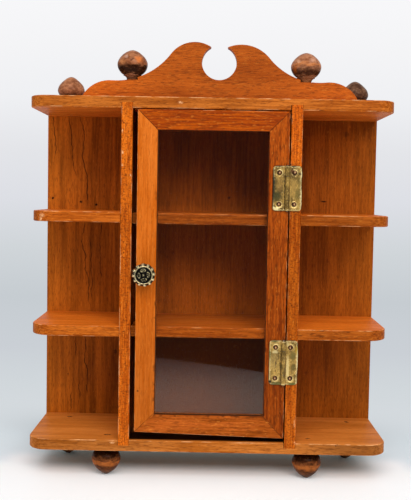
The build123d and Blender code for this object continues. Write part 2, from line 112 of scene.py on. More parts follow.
def between(value, low, high, to_low=0.0, to_high=1.0):
    """Maps a number smoothly from the span low to high onto another span."""
    inputs = {"Value": value, "From Min": low, "From Max": high, "To Min": to_low, "To Max": to_high}
    return output(value.tree, "MapRange", "Result", inputs, interpolation_type="SMOOTHSTEP")


def falling(value, low, high, start=1.0):
    """Falls smoothly from its start to 0 over the span low to high."""
    return between(value, low, high, start, 0.0)


def blended(factor, first, second):
    """Two colours mixed."""
    return output(factor.tree, "Mix", 2, {0: factor, 6: first, 7: second}, data_type="RGBA")


def bumped(height, strength, distance):
    """The direction of the surface, tipped by a fine relief."""
    return output(height.tree, "Bump", 0, {"Height": height, "Strength": strength, "Distance": distance})


def new_material(name):
    """A node material, its shader, and the place on the piece that its patterns are laid out by."""
    material = bpy.data.materials.new(name)
    material.use_nodes = True
    tree = material.node_tree
    return material, tree.nodes["Principled BSDF"], output(tree, "TexCoord", "Object")


def along(place):
    """The three coordinates of a point."""
    first = output(place.tree, "SeparateXYZ", 0, {0: place})
    return [Value(socket) for socket in first.socket.node.outputs]


def facing(place):
    """The three parts of the direction that the surface faces."""
    return along(output(place.tree, "TexCoord", "Normal"))


def laid_out(place, shift, size):
    """A point counted in steps of the given size along X, Y and Z, and then shifted."""
    inputs = {"Vector": place, "Location": shift, "Scale": [1 / length for length in size]}
    return output(place.tree, "Mapping", 0, inputs)


def cloud(place, shift, size, detail=2.0, wobble=0.0):
    """Noise whose features have the given size, in metres, along X, Y and Z, or one size for all three."""
    moved = laid_out(place, shift, [size] * 3 if isinstance(size, float) else size)
    inputs = {"Vector": moved, "Scale": 1.0, "Detail": detail, "Distortion": wobble}
    return output(place.tree, "TexNoise", 0, inputs)


def ragged(place, size=0.0008, reach=0.0006):
    """The same point, pushed about so that a patch laid there gets a rough edge."""
    push = output(place.tree, "TexNoise", "Color", {"Vector": place, "Scale": 1 / size, "Detail": 2.0})
    inputs = {0: push, 1: [2 * reach] * 3, 2: [-reach] * 3}
    centred = output(place.tree, "VectorMath", 0, inputs, operation="MULTIPLY_ADD")
    return output(place.tree, "VectorMath", 0, {0: place, 1: centred}, operation="ADD")


def patch(place, centre, reach, soft=0.5):
    """1 inside an egg-shaped patch with the given reach along X, Y and Z, in metres, and 0 outside it."""
    moved = laid_out(place, [-at / length for at, length in zip(centre, reach)], reach)
    far = output(place.tree, "VectorMath", "Value", {0: moved}, operation="LENGTH")
    return falling(far, 1.0 - soft, 1.0)


def arris_mask(place, run):
    """1 on the rounded arrises that run level ("flat") or up and down ("upright"), and 0 on the faces."""
    x, y, z = (part * part for part in facing(place))
    return between(z * (x + y) if run == "flat" else x * y, 0.08, 0.2)


def uneven(at, stops):
    """A factor that runs smoothly through its stops along one axis."""
    factor = stops[0][1]
    for (low, first), (high, second) in zip(stops, stops[1:]):
        factor = between(at, low, high, 0.0, second - first) + factor
    return factor


def stained_and_lit(place, grain, colour, look):
    """The wood's colour, scaled on its tops and undersides as painted light, and along the grain on its
    front.
    """
    _, y, z = facing(place)
    factor = between(z, 0.5, 0.95, 0.0, look.get("top", 1.0) - 1) + 1.0
    factor += between(z, -0.95, -0.5, look.get("under", 1.0) - 1, 0.0)
    if "front" in look:
        at = along(place)["XYZ".index(grain)]
        factor += falling(y, -0.95, -0.5) * (uneven(at, look["front"]) - 1.0)
    return output(place.tree, "VectorMath", 0, {0: colour, "Scale": factor}, operation="SCALE")


pore_brown = tint(78, 28, 4)
gold_fleck = tint(236, 146, 54)
# Pale bare wood, for chips and scuffs, and as a painted highlight along the arrises.
bare_wood_and_highlight = tint(236, 176, 122)
dent_brown = tint(52, 18, 6)
# The darkest brown, for seams and nail holes, and for painted shade.
seam_and_shade = tint(15, 6, 3)


def lacquered_wood(name, grain, shift, dark, light, look, marks=(), tone_and_shade_of=None, grime_and_shade_of=None):
    """Open-pored wood with its grain along one axis, under a thin coat of lacquer."""
    material, shader, place = new_material(name)

    def layer(width, length, detail=2.0, wobble=0.0):
        size = [width] * 3
        size["XYZ".index(grain)] = length
        return cloud(place, shift, size, detail, wobble)

    def swing(noise, low, high, key):
        return between(noise, low, high, -look[key], look[key])

    open_grain = between(facing(place)[2], 0.5, 0.95, 1.0, 0.35)
    broad = swing(layer(0.012, 0.09, 2.0, 0.4), 0.3, 0.7, "broad")
    rings = maths("SINE", layer(0.016, 0.3, 1.0, 0.2) * 60.0) * look["rings"] + 0.5
    streak = swing(layer(0.0009, 0.018, 3.0, 0.1), 0.32, 0.68, "streaks") * open_grain
    tone = maths("ADD", broad + rings, streak, clamp=True)
    if tone_and_shade_of:
        tone = tone_and_shade_of(place, tone)
    colour = blended(tone, dark, light)
    pore = between(layer(0.00045, 0.0034, 1.0), 0.54, 0.66, 0.0, look["pores"])
    dash = between(layer(0.0010, 0.0050, 1.5), 0.55, 0.7, 0.0, look["dashes"])
    fleck = between(layer(0.0008, 0.0028, 2.0, 0.3), 0.58, 0.74, 0.0, look["gold"])
    colour = blended(pore * open_grain, colour, pore_brown)
    colour = blended(dash * open_grain, colour, pore_brown)
    colour = blended(fleck, colour, gold_fleck)
    if "checks" in look:
        check = between(cloud(place, shift, (0.0014, 0.0014, 0.00055)), 0.48, 0.7)
        speck = between(cloud(place, shift, (0.0006, 0.0006, 0.0011), 1.0), 0.52, 0.74)
        colour = blended((check + speck) * look["checks"], colour, pore_brown)
    colour = stained_and_lit(place, grain, colour, look)
    # Pale arrises, partly scuffing and partly a painted highlight along them.
    worn_and_lit = arris_mask(place, look["arris"]) * between(layer(0.002, 0.006, 3.0), 0.45, 0.65)
    colour = blended(worn_and_lit * look["wear_and_highlight"], colour, bare_wood_and_highlight)
    # The function given draws dark seams and mineral lines, and painted shade in gaps, round the glass and
    # under the door.
    if grime_and_shade_of:
        colour = blended(grime_and_shade_of(place), colour, seam_and_shade)
    rough_place = ragged(place) if marks else place
    for centre, reach, stain_and_light, strength in marks:
        spot = patch(rough_place, centre, reach, 0.7)
        if stain_and_light == bare_wood_and_highlight:
            spot *= between(cloud(place, centre, 0.0005), 0.40, 0.54)
        colour = blended(spot * strength, colour, stain_and_light)
    gloss = look.get("gloss", 0.38)
    fibre = between(layer(0.0003, 0.006), 0.3, 0.7, -0.5, 0.5)
    inputs = {
        "Base Color": colour,
        "Roughness": between(layer(0.003, 0.02), 0.3, 0.7, gloss, gloss + 0.12),
        "Normal": bumped(fibre - pore * 3.0, 0.3, 0.00006),
        "Specular IOR Level": 0.05,
    }
    plug(shader, inputs)
    return material


def marks_at(y, deep, rows):
    """Marks on an upright face: X, Z and the reach along both in millimetres, a colour and its strength."""
    return tuple(
        ((x / 1000, y, z / 1000), (wide / 1000, deep / 1000, high / 1000), stain_and_light, strength)
        for x, z, wide, high, stain_and_light, strength in rows
    )


def finish_node(name, material):
    """Gives one of the case's own pieces its finish."""
    nodes[name].data.materials.clear()
    nodes[name].data.materials.append(material)


board_look = dict(
    broad=0.25, rings=0.06, streaks=0.45, pores=0.45, dashes=0.18, gold=0.2, wear_and_highlight=0.75, arris="flat"
)
left_outer_x, left_inner_x = (corner.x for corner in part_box("left_upright"))
right_inner_x, right_outer_x = (corner.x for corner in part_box("right_upright"))
upright_middle = (left_outer_x + left_inner_x) / 2
under_door_start = front_y + 0.0028
under_door_end = front_y + 0.0270


def painted_door_shadow(place):
    """Painted shadow of the door on the bottom board between the uprights, thinning out behind it."""
    x, y, z = along(place)
    inside = between(x, left_inner_x - 0.0004, left_inner_x)
    inside *= falling(x, right_inner_x, right_inner_x + 0.0004)
    start = between(y, under_door_start - 0.0006, under_door_start + 0.0006)
    fade = falling(y, under_door_start + 0.012, under_door_end, 0.98)
    return inside * start * fade * between(z, floor_z - 0.0012, floor_z - 0.0004)


def housing_seams(place):
    """Short dark lines on the top board's front edge, just over the ends of the uprights."""
    x, y, z = along(place)
    across = falling(abs(abs(x) + upright_middle), 0.0026, 0.0034)
    up = falling(z, ceiling_z, ceiling_z + 0.0007, 0.9)
    return across * up * falling(y, front_y + 0.001, front_y + 0.002)


top_marks = marks_at(
    front_y,
    1.5,
    (
        (-17.6, 211.6, 1.8, 1.0, bare_wood_and_highlight, 0.95), (-54.1, 205.7, 1.8, 0.9, bare_wood_and_highlight, 1.0),
        (-51.4, 206.9, 2.2, 1.0, bare_wood_and_highlight, 1.0), (49.1, 209.4, 0.6, 0.8, bare_wood_and_highlight, 0.9),
        (50.2, 208.3, 0.7, 0.6, bare_wood_and_highlight, 0.8), (60.1, 208.2, 2.2, 0.9, dent_brown, 0.5),
    ),
)
nail_dents = tuple(
    ((x / 1000, y / 1000, floor_z), (wide / 1000, deep / 1000, 0.002), dent_brown, 1.0)
    for x, y, wide, deep in (
        (-84.9, 23.2, 1.8, 1.4), (-58.3, -15.6, 1.2, 1.2), (-55.9, -15.6, 1.0, 1.0),
        (86.4, 22.3, 1.8, 1.0), (58.1, -15.9, 1.9, 1.1),
    )
)
edge_marks = marks_at(
    front_y,
    1.2,
    (
        (79.4, 22.7, 2.6, 0.6, bare_wood_and_highlight, 0.9), (-53.0, 21.2, 1.9, 0.7, bare_wood_and_highlight, 1.0),
        (72.6, 21.8, 0.5, 0.6, dent_brown, 0.9), (73.4, 22.4, 0.5, 0.5, dent_brown, 0.9),
    ),
)
top_front = ((-0.1, 0.83), (0.0, 0.86), (0.06, 1.0), (0.1, 1.04))
bottom_front = ((-0.1, 0.8), (-0.05, 0.88), (0.0, 1.2), (0.04, 1.12), (0.08, 0.58))
# The top board's underside and the bottom board's top are painted lighter, as painted light.
top_look = {**board_look, "under": 1.4, "front": top_front}
bottom_look = {**board_look, "streaks": 0.3, "gold": 0.1, "top": 1.42, "front": bottom_front}
top_browns = tint(154, 74, 12), tint(202, 112, 38)
bottom_browns = tint(150, 79, 18), tint(196, 117, 50)
bottom_marks = nail_dents + edge_marks
for name, shift, (dark, light), look, marks, grime_and_shade_of in (
    ("top_board", (0.31, 0.2, 0.15), top_browns, top_look, top_marks, housing_seams),
    ("bottom_board", (0.9, 0.47, 0.33), bottom_browns, bottom_look, bottom_marks, painted_door_shadow),
):
    wood = lacquered_wood(name + "_wood", "X", shift, dark, light, look, marks, grime_and_shade_of=grime_and_shade_of)
    finish_node(name, wood)


# ---------------------------------------------------------------------------
# Uprights
# Two strips of the same board, standing in their housings. Their front edges were cut across a
# curly stretch, so that short dark checks cross the grain.
# ---------------------------------------------------------------------------
upright_look = dict(
    broad=0.25, rings=0.06, streaks=0.45, pores=0.35, dashes=0.2, gold=0.35, checks=0.5, arris="upright"
)
left_marks = marks_at(
    front_y,
    1.0,
    (
        (-44.4, 171.4, 0.6, 0.7, bare_wood_and_highlight, 1.0), (-49.0, 184.0, 0.7, 1.4, bare_wood_and_highlight, 1.0),
        (-49.1, 176.9, 0.7, 1.0, bare_wood_and_highlight, 1.0), (-49.3, 195.5, 0.6, 1.6, bare_wood_and_highlight, 1.0),
        (-49.6, 123.0, 0.4, 9.0, bare_wood_and_highlight, 0.6), (-49.6, 62.0, 0.4, 12.0, bare_wood_and_highlight, 0.5),
    ),
)
right_marks = marks_at(
    front_y,
    1.0,
    (
        (49.1, 34.0, 0.6, 3.0, bare_wood_and_highlight, 0.6), (49.6, 23.0, 0.7, 1.5, bare_wood_and_highlight, 0.6),
    ),
)


def painted_gap_shade(place):
    """Painted shade on the inner faces just behind the closed door, carried on deeper inside at the left."""
    x, y, _ = along(place)
    inside = falling(abs(x), -left_inner_x, 0.0004 - left_inner_x, 0.98)
    start = between(y, front_y + 0.0006, front_y + 0.0014)
    crack = falling(y, front_y + 0.004, front_y + 0.009)
    deep = falling(y, front_y + 0.032, front_y + 0.048, 0.86) * falling(x, 0.0, 0.001)
    return inside * start * maths("MAXIMUM", crack, deep)


# Brightness along each upright's front, partly uneven staining and partly painted light: the left upright is
# painted brighter than the right.
left_front_stain_and_light = ((0.03, 1.12), (0.1, 1.02), (0.15, 1.04), (0.19, 1.15))
right_front_stain_and_light = ((0.03, 0.91), (0.11, 0.78), (0.15, 0.84), (0.19, 1.34))
for name, shift, wear_and_highlight, stain_and_light, marks in (
    ("left_upright", (0.11, 0.6, 0.4), 0.45, left_front_stain_and_light, left_marks),
    ("right_upright", (0.73, 0.25, 0.9), 0.3, right_front_stain_and_light, right_marks),
):
    look = {**upright_look, "wear_and_highlight": wear_and_highlight, "front": stain_and_light}
    dark, light = tint(166, 72, 4), tint(210, 106, 20)
    wood = lacquered_wood(name + "_wood", "Z", shift, dark, light, look, marks, grime_and_shade_of=painted_gap_shade)
    finish_node(name, wood)


# ---------------------------------------------------------------------------
# Shelves
# Six lengths of thinner board. The outer four are rounded at their free front corner, and the
# middle two stop behind the door.
# ---------------------------------------------------------------------------
shelf_look = dict(
    broad=0.2, rings=0.1, streaks=0.4, pores=0.4, dashes=0.25, gold=0.25, wear_and_highlight=0.6, arris="flat"
)
upper_left_marks = (
    ((-0.0935, front_y + 0.003, 0.1484), (0.0026, 0.0034, 0.0016), bare_wood_and_highlight, 1.0),
    ((-0.0945, front_y + 0.003, 0.1462), (0.0014, 0.0030, 0.0016), bare_wood_and_highlight, 0.9),
    ((-0.0905, front_y + 0.002, 0.1455), (0.0014, 0.002, 0.0010), bare_wood_and_highlight, 0.9),
)
# Each row gives a shelf's front and top brightness; the tops are painted lighter, as painted light.
for count, (name, front, top) in enumerate(
    (
        ("upper_left_shelf", 1.2, 1.5),
        ("lower_left_shelf", 1.06, 1.72),
        ("upper_centre_shelf", 0.7, 1.3),
        ("lower_centre_shelf", 0.92, 1.1),
        ("upper_right_shelf", 0.76, 1.5),
        ("lower_right_shelf", 0.87, 1.75),
    )
):
    shift = (0.37 * count, 0.21 + 0.13 * count, 0.5 + 0.29 * count)
    marks = upper_left_marks if name == "upper_left_shelf" else ()
    look = {**shelf_look, "front": ((0.0, front),), "top": top}
    if name == "lower_right_shelf":
        look["dashes"] = 0.7
    wood = lacquered_wood(name + "_wood", "X", shift, tint(146, 66, 6), tint(192, 100, 28), look, marks)
    finish_node(name, wood)


# ---------------------------------------------------------------------------
# Back panel
# A thin sheet with upright grain, stained darker and nailed over the back edges. Dark mineral lines
# wander up it behind the left bays, and a few nail points missed the shelves.
# ---------------------------------------------------------------------------
panel_look = dict(
    broad=0.15, rings=0.0, streaks=0.15, pores=0.4, dashes=0.2, gold=0.12, wear_and_highlight=0.4, arris="flat", gloss=0.45
)
panel_look["front"] = ((0.04, 1.1), (0.12, 1.2), (0.19, 1.35))
panel_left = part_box("back_panel")[0].x
panel_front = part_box("back_panel")[0].y
mineral_lines = (
    (0.50, ((-98.5, 207.3), (-97.8, 199.9), (-97.1, 192.5), (-96.7, 186.4))),
    (0.45, ((-89.2, 208.0), (-88.0, 201.3), (-87.4, 195.1), (-86.5, 189.6), (-86.1, 181.6), (-84.8, 174.2))),
    (0.60, ((-81.7, 206.3), (-79.2, 193.4), (-80.0, 186.6), (-78.7, 176.8), (-77.0, 170.6), (-77.0, 155.1))),
    (0.60, ((-78.6, 141.4), (-79.8, 128.2), (-77.6, 121.4), (-77.8, 115.1), (-76.2, 109.5), (-75.8, 94.4))),
    (0.50, ((-67.8, 141.6), (-68.6, 134.7), (-68.8, 128.4), (-68.4, 118.4), (-67.8, 110.3))),
    (0.45, ((-75.3, 133.3), (-74.4, 125.8), (-74.1, 118.3), (-73.7, 105.8), (-74.1, 97.0))),
    (0.45, ((-83.6, 70.3), (-83.4, 65.2), (-83.7, 60.1))),
    (0.60, ((-77.3, 70.4), (-77.3, 62.8), (-77.6, 57.0), (-76.2, 51.4), (-75.8, 45.0), (-76.2, 37.3))),
    (0.50, ((-80.9, 43.6), (-81.0, 38.5), (-80.7, 33.4))),
    (0.50, ((-86.3, 34.6), (-86.4, 29.5), (-86.2, 25.6))),
)


def mineral_line(across, up, width, path):
    """1 along a thin line that wanders across the grain, fading in and out. Its path is in millimetres."""
    lowest, highest = path[-1][1] / 1000, path[0][1] / 1000
    left = min(x for x, _ in path) / 1000 - 0.002
    span = 0.012
    share = output(up.tree, "MapRange", 0, {"Value": up, "From Min": lowest, "From Max": highest})
    curve = output(up.tree, "FloatCurve", 0, {"Value": share})
    mapping = curve.socket.node.mapping
    line = mapping.curves[0]
    marks = [((z / 1000 - lowest) / (highest - lowest), (x / 1000 - left) / span) for x, z in reversed(path)]
    line.points[0].location = marks[0]
    line.points[1].location = marks[-1]
    for mark in marks[1:-1]:
        line.points.new(*mark)
    mapping.update()
    off = abs(across - (curve * span + left))
    ends = between(up, lowest - 0.003, lowest + 0.001) * falling(up, highest - 0.001, highest + 0.003)
    return falling(off, width * 0.0002, width * 0.0009) * ends


def mineral_streaks(place):
    """The dark lines in the panel, broken here and there."""
    x, _, z = along(place)
    shiver = cloud(place, (0, 0, 0), (0.02, 0.02, 0.004), 1.0)
    bent = x + between(shiver, 0.2, 0.8, -0.0005, 0.0005)
    fade = between(cloud(place, (0.7, 0.0, 0.1), (0.01, 0.01, 0.006)), 0.3, 0.55, 0.3, 0.75)
    darkest = None
    for width, path in mineral_lines:
        line = mineral_line(bent, z, width, path) * fade
        darkest = maths("MAXIMUM", darkest, line) if darkest else line
    return darkest


def panel_tone_and_shade(place, tone):
    """Broad bands behind the left bays, with painted light and shade on the panel's front face."""
    x, y, z = along(place)
    stripe = cloud(place, (0.4, 0.0, 0.2), (0.0034, 0.0034, 0.08), 2.0, 0.5)
    shade = between(stripe, 0.34, 0.66, -0.2, 0.2) * between(x, -0.052, -0.044, 1.0, 0.2)
    # Painted light and shade: paler towards the left end of the case, darker beside the left upright.
    shade += between(x, panel_left, left_inner_x, 0.22, -0.25) * falling(x, -0.050, -0.046)
    # Painted shade in the middle bay, low below its lower shelf and high behind the glass.
    centre_bay = between(x, -0.046, -0.043) * falling(x, 0.043, 0.046)
    shade += centre_bay * between(z, 0.070, 0.086, -0.75, 0.02)
    shade += centre_bay * between(z, 0.150, 0.156, 0.0, -0.25)
    # Painted shade beside the right upright and in the right bay's top corner.
    right_bay = between(x, right_outer_x - 0.002, right_outer_x)
    shade += right_bay * between(x, right_outer_x + 0.001, right_outer_x + 0.014, -0.45, -0.1)
    shade += right_bay * between(z, ceiling_z - 0.016, ceiling_z - 0.002, 0.0, -0.35)
    on_face = falling(y, panel_front + 0.0004, panel_front + 0.0016)
    return maths("ADD", tone, shade * on_face, clamp=True)


panel_marks = marks_at(
    panel_front,
    2.0,
    (
        (-98.4, 157.8, 1.1, 1.1, seam_and_shade, 1.0), (-80.9, 155.8, 1.1, 1.1, seam_and_shade, 1.0),
        (-71.3, 154.1, 1.1, 1.1, seam_and_shade, 1.0), (11.2, 159.9, 1.1, 1.1, seam_and_shade, 1.0),
        (69.9, 158.5, 2.4, 0.7, seam_and_shade, 0.95), (-58.3, 62.2, 1.4, 2.2, seam_and_shade, 0.6),
        (-88.1, 47.3, 0.7, 0.7, seam_and_shade, 0.8), (82.7, 200.2, 2.8, 2.6, seam_and_shade, 0.35),
    ),
)
panel_wood = lacquered_wood(
    "panel_veneer",
    "Z",
    (0.2, 0.9, 0.6),
    tint(106, 50, 2),
    tint(180, 94, 20),
    panel_look,
    panel_marks,
    panel_tone_and_shade,
    mineral_streaks,
)
finish_node("back_panel", panel_wood)


# ---------------------------------------------------------------------------
# Pediment
# A fretted board standing on the top board, with the two front finials in its shoulders. Its open
# pores show as short dark dashes.
# ---------------------------------------------------------------------------
pediment_look = dict(
    broad=0.3, rings=0.06, streaks=0.25, pores=0.45, dashes=0.06, gold=0.2, wear_and_highlight=0.3, arris="upright"
)
pediment_look["front"] = ((-0.075, 1.35), (-0.02, 0.84), (0.02, 0.82), (0.075, 1.2))
dark, light = tint(156, 68, 10), tint(192, 92, 22)
pediment_wood = lacquered_wood("pediment_wood", "X", (0.77, 0.12, 0.5), dark, light, pediment_look)
finish_node("pediment", pediment_wood)


# ---------------------------------------------------------------------------
# Finials and feet
# Eight acorns turned from a darker wood, stained like walnut and polished. Four stand up as
# finials and four hang down as feet, with their tips cut flat. Their outlines are in millimetres.
# ---------------------------------------------------------------------------
finial_spacing = 0.0962
tip_height = 16.6
tip_radius = 0.5
turning_steps = 56
waver = 0.00007
waver_scale = 260
sanded_off = 0.00003
neck_outline = ((0.0, 0.0), (3.2, 0.0), (3.2, 0.4), (3.4, 1.1), (3.8, 1.5), (4.3, 1.8), (4.2, 2.1))
collared_neck_outline = (
    *((0.0, 0.0), (3.2, 0.0), (3.2, 0.9), (3.6, 1.7)),
    *((4.3, 2.3), (5.0, 2.6), (5.1, 2.8), (4.9, 3.0)),
)
front_finial_swell = (
    *((5.2, 3.2), (5.7, 3.5), (6.3, 4.0), (7.0, 4.8), (7.6, 5.7), (8.1, 6.9)),
    *((8.4, 8.4), (8.1, 10.3), (6.6, 12.8), (3.9, 15.2), (1.5, 16.3)),
)
rear_finial_swell = (
    *((5.2, 3.2), (6.9, 5.3), (7.9, 7.2), (8.1, 8.6)),
    *((7.3, 11.2), (5.2, 13.6), (2.8, 15.6), (1.2, 16.4)),
)
foot_swell = (
    *((6.0, 2.5), (7.4, 3.7), (8.2, 6.2), (8.15, 8.4)),
    *((7.2, 10.7), (5.5, 13.1), (3.1, 15.1), (1.2, 16.3)),
)


def smooth_run(points):
    """A smooth curve through points, with a few steps from each to the next."""
    steps = 4
    ends = [points[0], *points, points[-1]]
    run = []
    for before, start, stop, after in zip(ends, ends[1:], ends[2:], ends[3:]):
        for step in range(steps):
            t = step / steps
            weights = (
                (-t + 2 * t**2 - t**3) / 2,
                (2 - 5 * t**2 + 3 * t**3) / 2,
                (t + 4 * t**2 - 3 * t**3) / 2,
                (t**3 - t**2) / 2,
            )
            corners = (before, start, stop, after)
            run.append(tuple(sum(w * corner[i] for w, corner in zip(weights, corners)) for i in (0, 1)))
    return run + [points[-1]]


def placed(name, data):
    """Adds an object to the scene."""
    made = bpy.data.objects.new(name, data)
    bpy.context.scene.collection.objects.link(made)
    return made


def object_from(bm, name, material, smooth=True):
    """Makes an object of a finished mesh, with its material."""
    mesh = bpy.data.meshes.new(name)
    bm.to_mesh(mesh)
    bm.free()
    for face in mesh.polygons:
        face.use_smooth = smooth
    mesh.materials.append(material)
    return placed(name, mesh)


def piece_for(node, bm, name, material, body, smooth=True):
    """Makes a finished piece that moves with a body and stands in for one of the case's nodes."""
    piece = object_from(bm, name, material, smooth)
    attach(piece, body)
    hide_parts(node)


def turned(profile, steps):
    """A closed shape turned about the Z axis from its profile."""
    bm = bmesh.new()
    line = [bm.verts.new((radius, 0.0, height)) for radius, height in profile]
    edges = [bm.edges.new(pair) for pair in zip(line, line[1:])]
    bmesh.ops.spin(
        bm, geom=line + edges, cent=(0, 0, 0), axis=(0, 0, 1), angle=2 * pi, steps=steps, use_merge=True
    )
    bmesh.ops.remove_doubles(bm, verts=bm.verts, dist=1e-6)
    bmesh.ops.recalc_face_normals(bm, faces=bm.faces)
    return bm


def polished_walnut(name, shift, seat, upwards, look):
    """Dark turned wood, streaked where its grain comes up, with painted shade and painted highlights in bands
    by height and in patches.
    """
    material, shader, place = new_material(name)
    mottle = cloud(place, shift, (0.0036, 0.0036, 0.0030), 2.0, 0.6)
    grain = cloud(place, shift, (0.0026, 0.0010, 0.0012))
    tone = grain * 0.45 + mottle * 0.55
    colour = blended(between(tone, 0.34, 0.66), look["dark"], look["light"])
    shiver = between(cloud(place, shift, (0.004, 0.004, 0.0015)), 0.3, 0.7, -0.0008, 0.0008)
    height = (along(place)[2] - seat.z) * upwards + shiver
    for *span, stain_and_light, strength in look["bands"]:
        low, high, soft = (length / 1000 for length in span)
        band = between(height, low - soft, low + soft) * falling(height, high - soft, high + soft)
        colour = blended(band * between(mottle, 0.3, 0.55, 0.8, 1.0) * strength, colour, stain_and_light)
    rough_place = ragged(place, 0.0022, 0.0016)
    for across, up, wide, high, stain_and_light, strength in look["patches"]:
        centre = seat + Vector((across, -6.0, up)) / 1000
        spot = patch(rough_place, centre, (wide / 1000, 0.008, high / 1000), 0.8)
        colour = blended(spot * strength, colour, stain_and_light)
    fleck = between(cloud(place, shift, (0.0010, 0.0010, 0.0007), 1.0), 0.6, 0.72)
    inputs = {
        "Base Color": blended(fleck * look["flecks"], colour, tint(214, 148, 84)),
        "Roughness": between(mottle, 0.3, 0.7, 0.34, 0.2),
        "Normal": bumped(tone, 0.35, 0.00018),
        "Specular IOR Level": 0.04,
    }
    plug(shader, inputs)
    return material


def walnut_look(dark, light, flecks, bands, patches=()):
    """How a turning is coloured. Bands have their ends and softness, and patches their place and reach."""
    return dict(dark=dark, light=light, flecks=flecks, bands=bands, patches=patches)


# Dark bands just below a finial's swell are painted shade; warm bands and the pale and orange patches are
# painted highlights.
left_finial_look = walnut_look(
    tint(112, 62, 36),
    tint(164, 106, 72),
    0.12,
    (
        (3.0, 6.8, 0.5, tint(30, 11, 3), 0.96), (5.6, 7.8, 1.3, tint(34, 12, 2), 0.92),
        (8.4, 9.4, 1.0, tint(128, 62, 22), 0.5), (-1.0, 2.2, 0.4, tint(74, 36, 16), 0.8),
    ),
    (
        (4.0, 10.8, 3.4, 2.4, tint(222, 120, 52), 0.6), (-5.2, 9.2, 2.6, 1.8, tint(190, 122, 74), 0.7),
        (0.4, 10.0, 1.1, 1.0, tint(70, 28, 10), 0.8), (-3.0, 12.2, 1.6, 1.4, tint(206, 164, 142), 0.5),
    ),
)
right_finial_look = walnut_look(
    tint(128, 73, 44),
    tint(170, 113, 80),
    0.15,
    (
        (3.2, 6.0, 0.8, tint(52, 22, 6), 0.94), (5.0, 7.4, 1.8, tint(56, 23, 6), 0.85),
        (9.0, 10.0, 0.8, tint(216, 128, 60), 0.5), (-1.0, 2.2, 0.4, tint(120, 68, 34), 0.8),
    ),
    (
        (-5.0, 11.2, 1.8, 1.4, tint(208, 156, 122), 0.6),
        (3.0, 11.8, 3.0, 2.0, tint(212, 160, 132), 0.45), (-6.6, 7.0, 1.6, 3.0, tint(170, 84, 24), 0.6),
    ),
)
# Painted shade below the rear finials' swell.
brown_bands = ((1.0, 6.0, 1.8, tint(40, 18, 8), 0.9),)
brown_finial_look = walnut_look(tint(118, 68, 42), tint(176, 116, 80), 0.12, brown_bands)
grey_bands = ((1.0, 6.6, 1.6, tint(34, 16, 8), 0.9),)
grey_finial_look = walnut_look(tint(66, 40, 28), tint(118, 84, 62), 0.12, grey_bands)
# Painted shade next to the board, a painted highlight round the swell, and a darker tip.
foot_bands = (
    (-1.0, 5.0, 1.2, tint(22, 9, 4), 0.92), (7.4, 9.8, 1.0, tint(186, 104, 46), 0.6),
    (13.0, 17.0, 1.0, tint(84, 50, 28), 0.6),
)
foot_look = walnut_look(tint(58, 27, 10), tint(116, 64, 32), 0.08, foot_bands)


def acorn(node, neck, swell, seat, turn, shift, look):
    """One turning on its seat, standing up or hanging down, with a foot's tip cut flat at the floor."""
    outline = [*neck, *smooth_run(swell), (tip_radius, tip_height - 0.05), (0.0, tip_height)]
    bm = turned([(radius / 1000, height / 1000) for radius, height in outline], turning_steps)
    bmesh.ops.rotate(bm, verts=bm.verts, matrix=Matrix.Rotation(shift[0] * 20, 3, "Z"))
    for vert in bm.verts:
        push = noise.noise(vert.co * waver_scale + Vector(shift) * 50) * waver
        vert.co += vert.co.normalized() * (push - sanded_off)
    bmesh.ops.transform(bm, matrix=Matrix.Translation(seat) @ turn, verts=bm.verts)
    hanging = seat.z < floor_z
    if hanging:
        everything = bm.verts[:] + bm.edges[:] + bm.faces[:]
        floor = dict(plane_co=(0, 0, 0), plane_no=(0, 0, -1))
        cut = bmesh.ops.bisect_plane(bm, geom=everything, clear_outer=True, **floor)
        rim = [item for item in cut["geom_cut"] if isinstance(item, bmesh.types.BMEdge)]
        bmesh.ops.holes_fill(bm, edges=rim, sides=0)
        bmesh.ops.recalc_face_normals(bm, faces=bm.faces)
    walnut = polished_walnut(node + "_walnut", shift, seat, -1 if hanging else 1, look)
    piece_for(node, bm, node + "_turning", walnut, "case")


def seat_of(node, level):
    """The middle of a turning's seat, at the given level."""
    low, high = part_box(node)
    return Vector(((low.x + high.x) / 2, (low.y + high.y) / 2, level))


upside_down = Matrix.Rotation(pi, 4, "X")
upright = Matrix.Identity(4)
for count, corner in enumerate(("front_left", "front_right", "rear_left", "rear_right")):
    node = corner + "_foot"
    seat, shift = seat_of(node, base_z), (0.3 * count, 0.1, 0.7)
    acorn(node, neck_outline, foot_swell, seat, upside_down, shift, foot_look)
for corner, shift, look in (
    ("rear_left", (0.1, 0.0, 0.2), brown_finial_look),
    ("rear_right", (0.1, 0.4, 0.2), grey_finial_look),
):
    node = corner + "_finial"
    acorn(node, neck_outline, rear_finial_swell, seat_of(node, top_z), upright, shift, look)
left_seat = seat_of("front_left_finial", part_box("front_left_finial")[0].z)
for corner, offset, shift, look in (
    ("left", 0.0, (0.25, 0.8, 0.2), left_finial_look),
    ("right", finial_spacing, (0.5, 0.3, 0.9), right_finial_look),
):
    seat = left_seat + Vector((offset, 0, 0))
    acorn(f"front_{corner}_finial", collared_neck_outline, front_finial_swell, seat, upright, shift, look)


# ---------------------------------------------------------------------------
# Nails, brads and pins
# Plain steel fastenings, mostly buried in the wood, with patches of brown tarnish.
# ---------------------------------------------------------------------------
steel, shader, place = new_material("dulled_steel")
tarnish = cloud(place, (0.2, 0.5, 0.8), 0.0008, 3.0, 0.5)
inputs = {
    "Base Color": blended(between(tarnish, 0.35, 0.65), tint(90, 74, 60), tint(176, 166, 154)),
    "Roughness": between(tarnish, 0.3, 0.7, 0.5, 0.35),
    "Metallic": 1.0,
}
plug(shader, inputs)
for name in (
    "back_panel_brads",
    "foot_nails",
    "rear_finial_nails",
    "front_finial_pins",
    "pediment_brads",
    "door_corner_brads",
    "knob_screw",
):
    finish_node(name, steel)


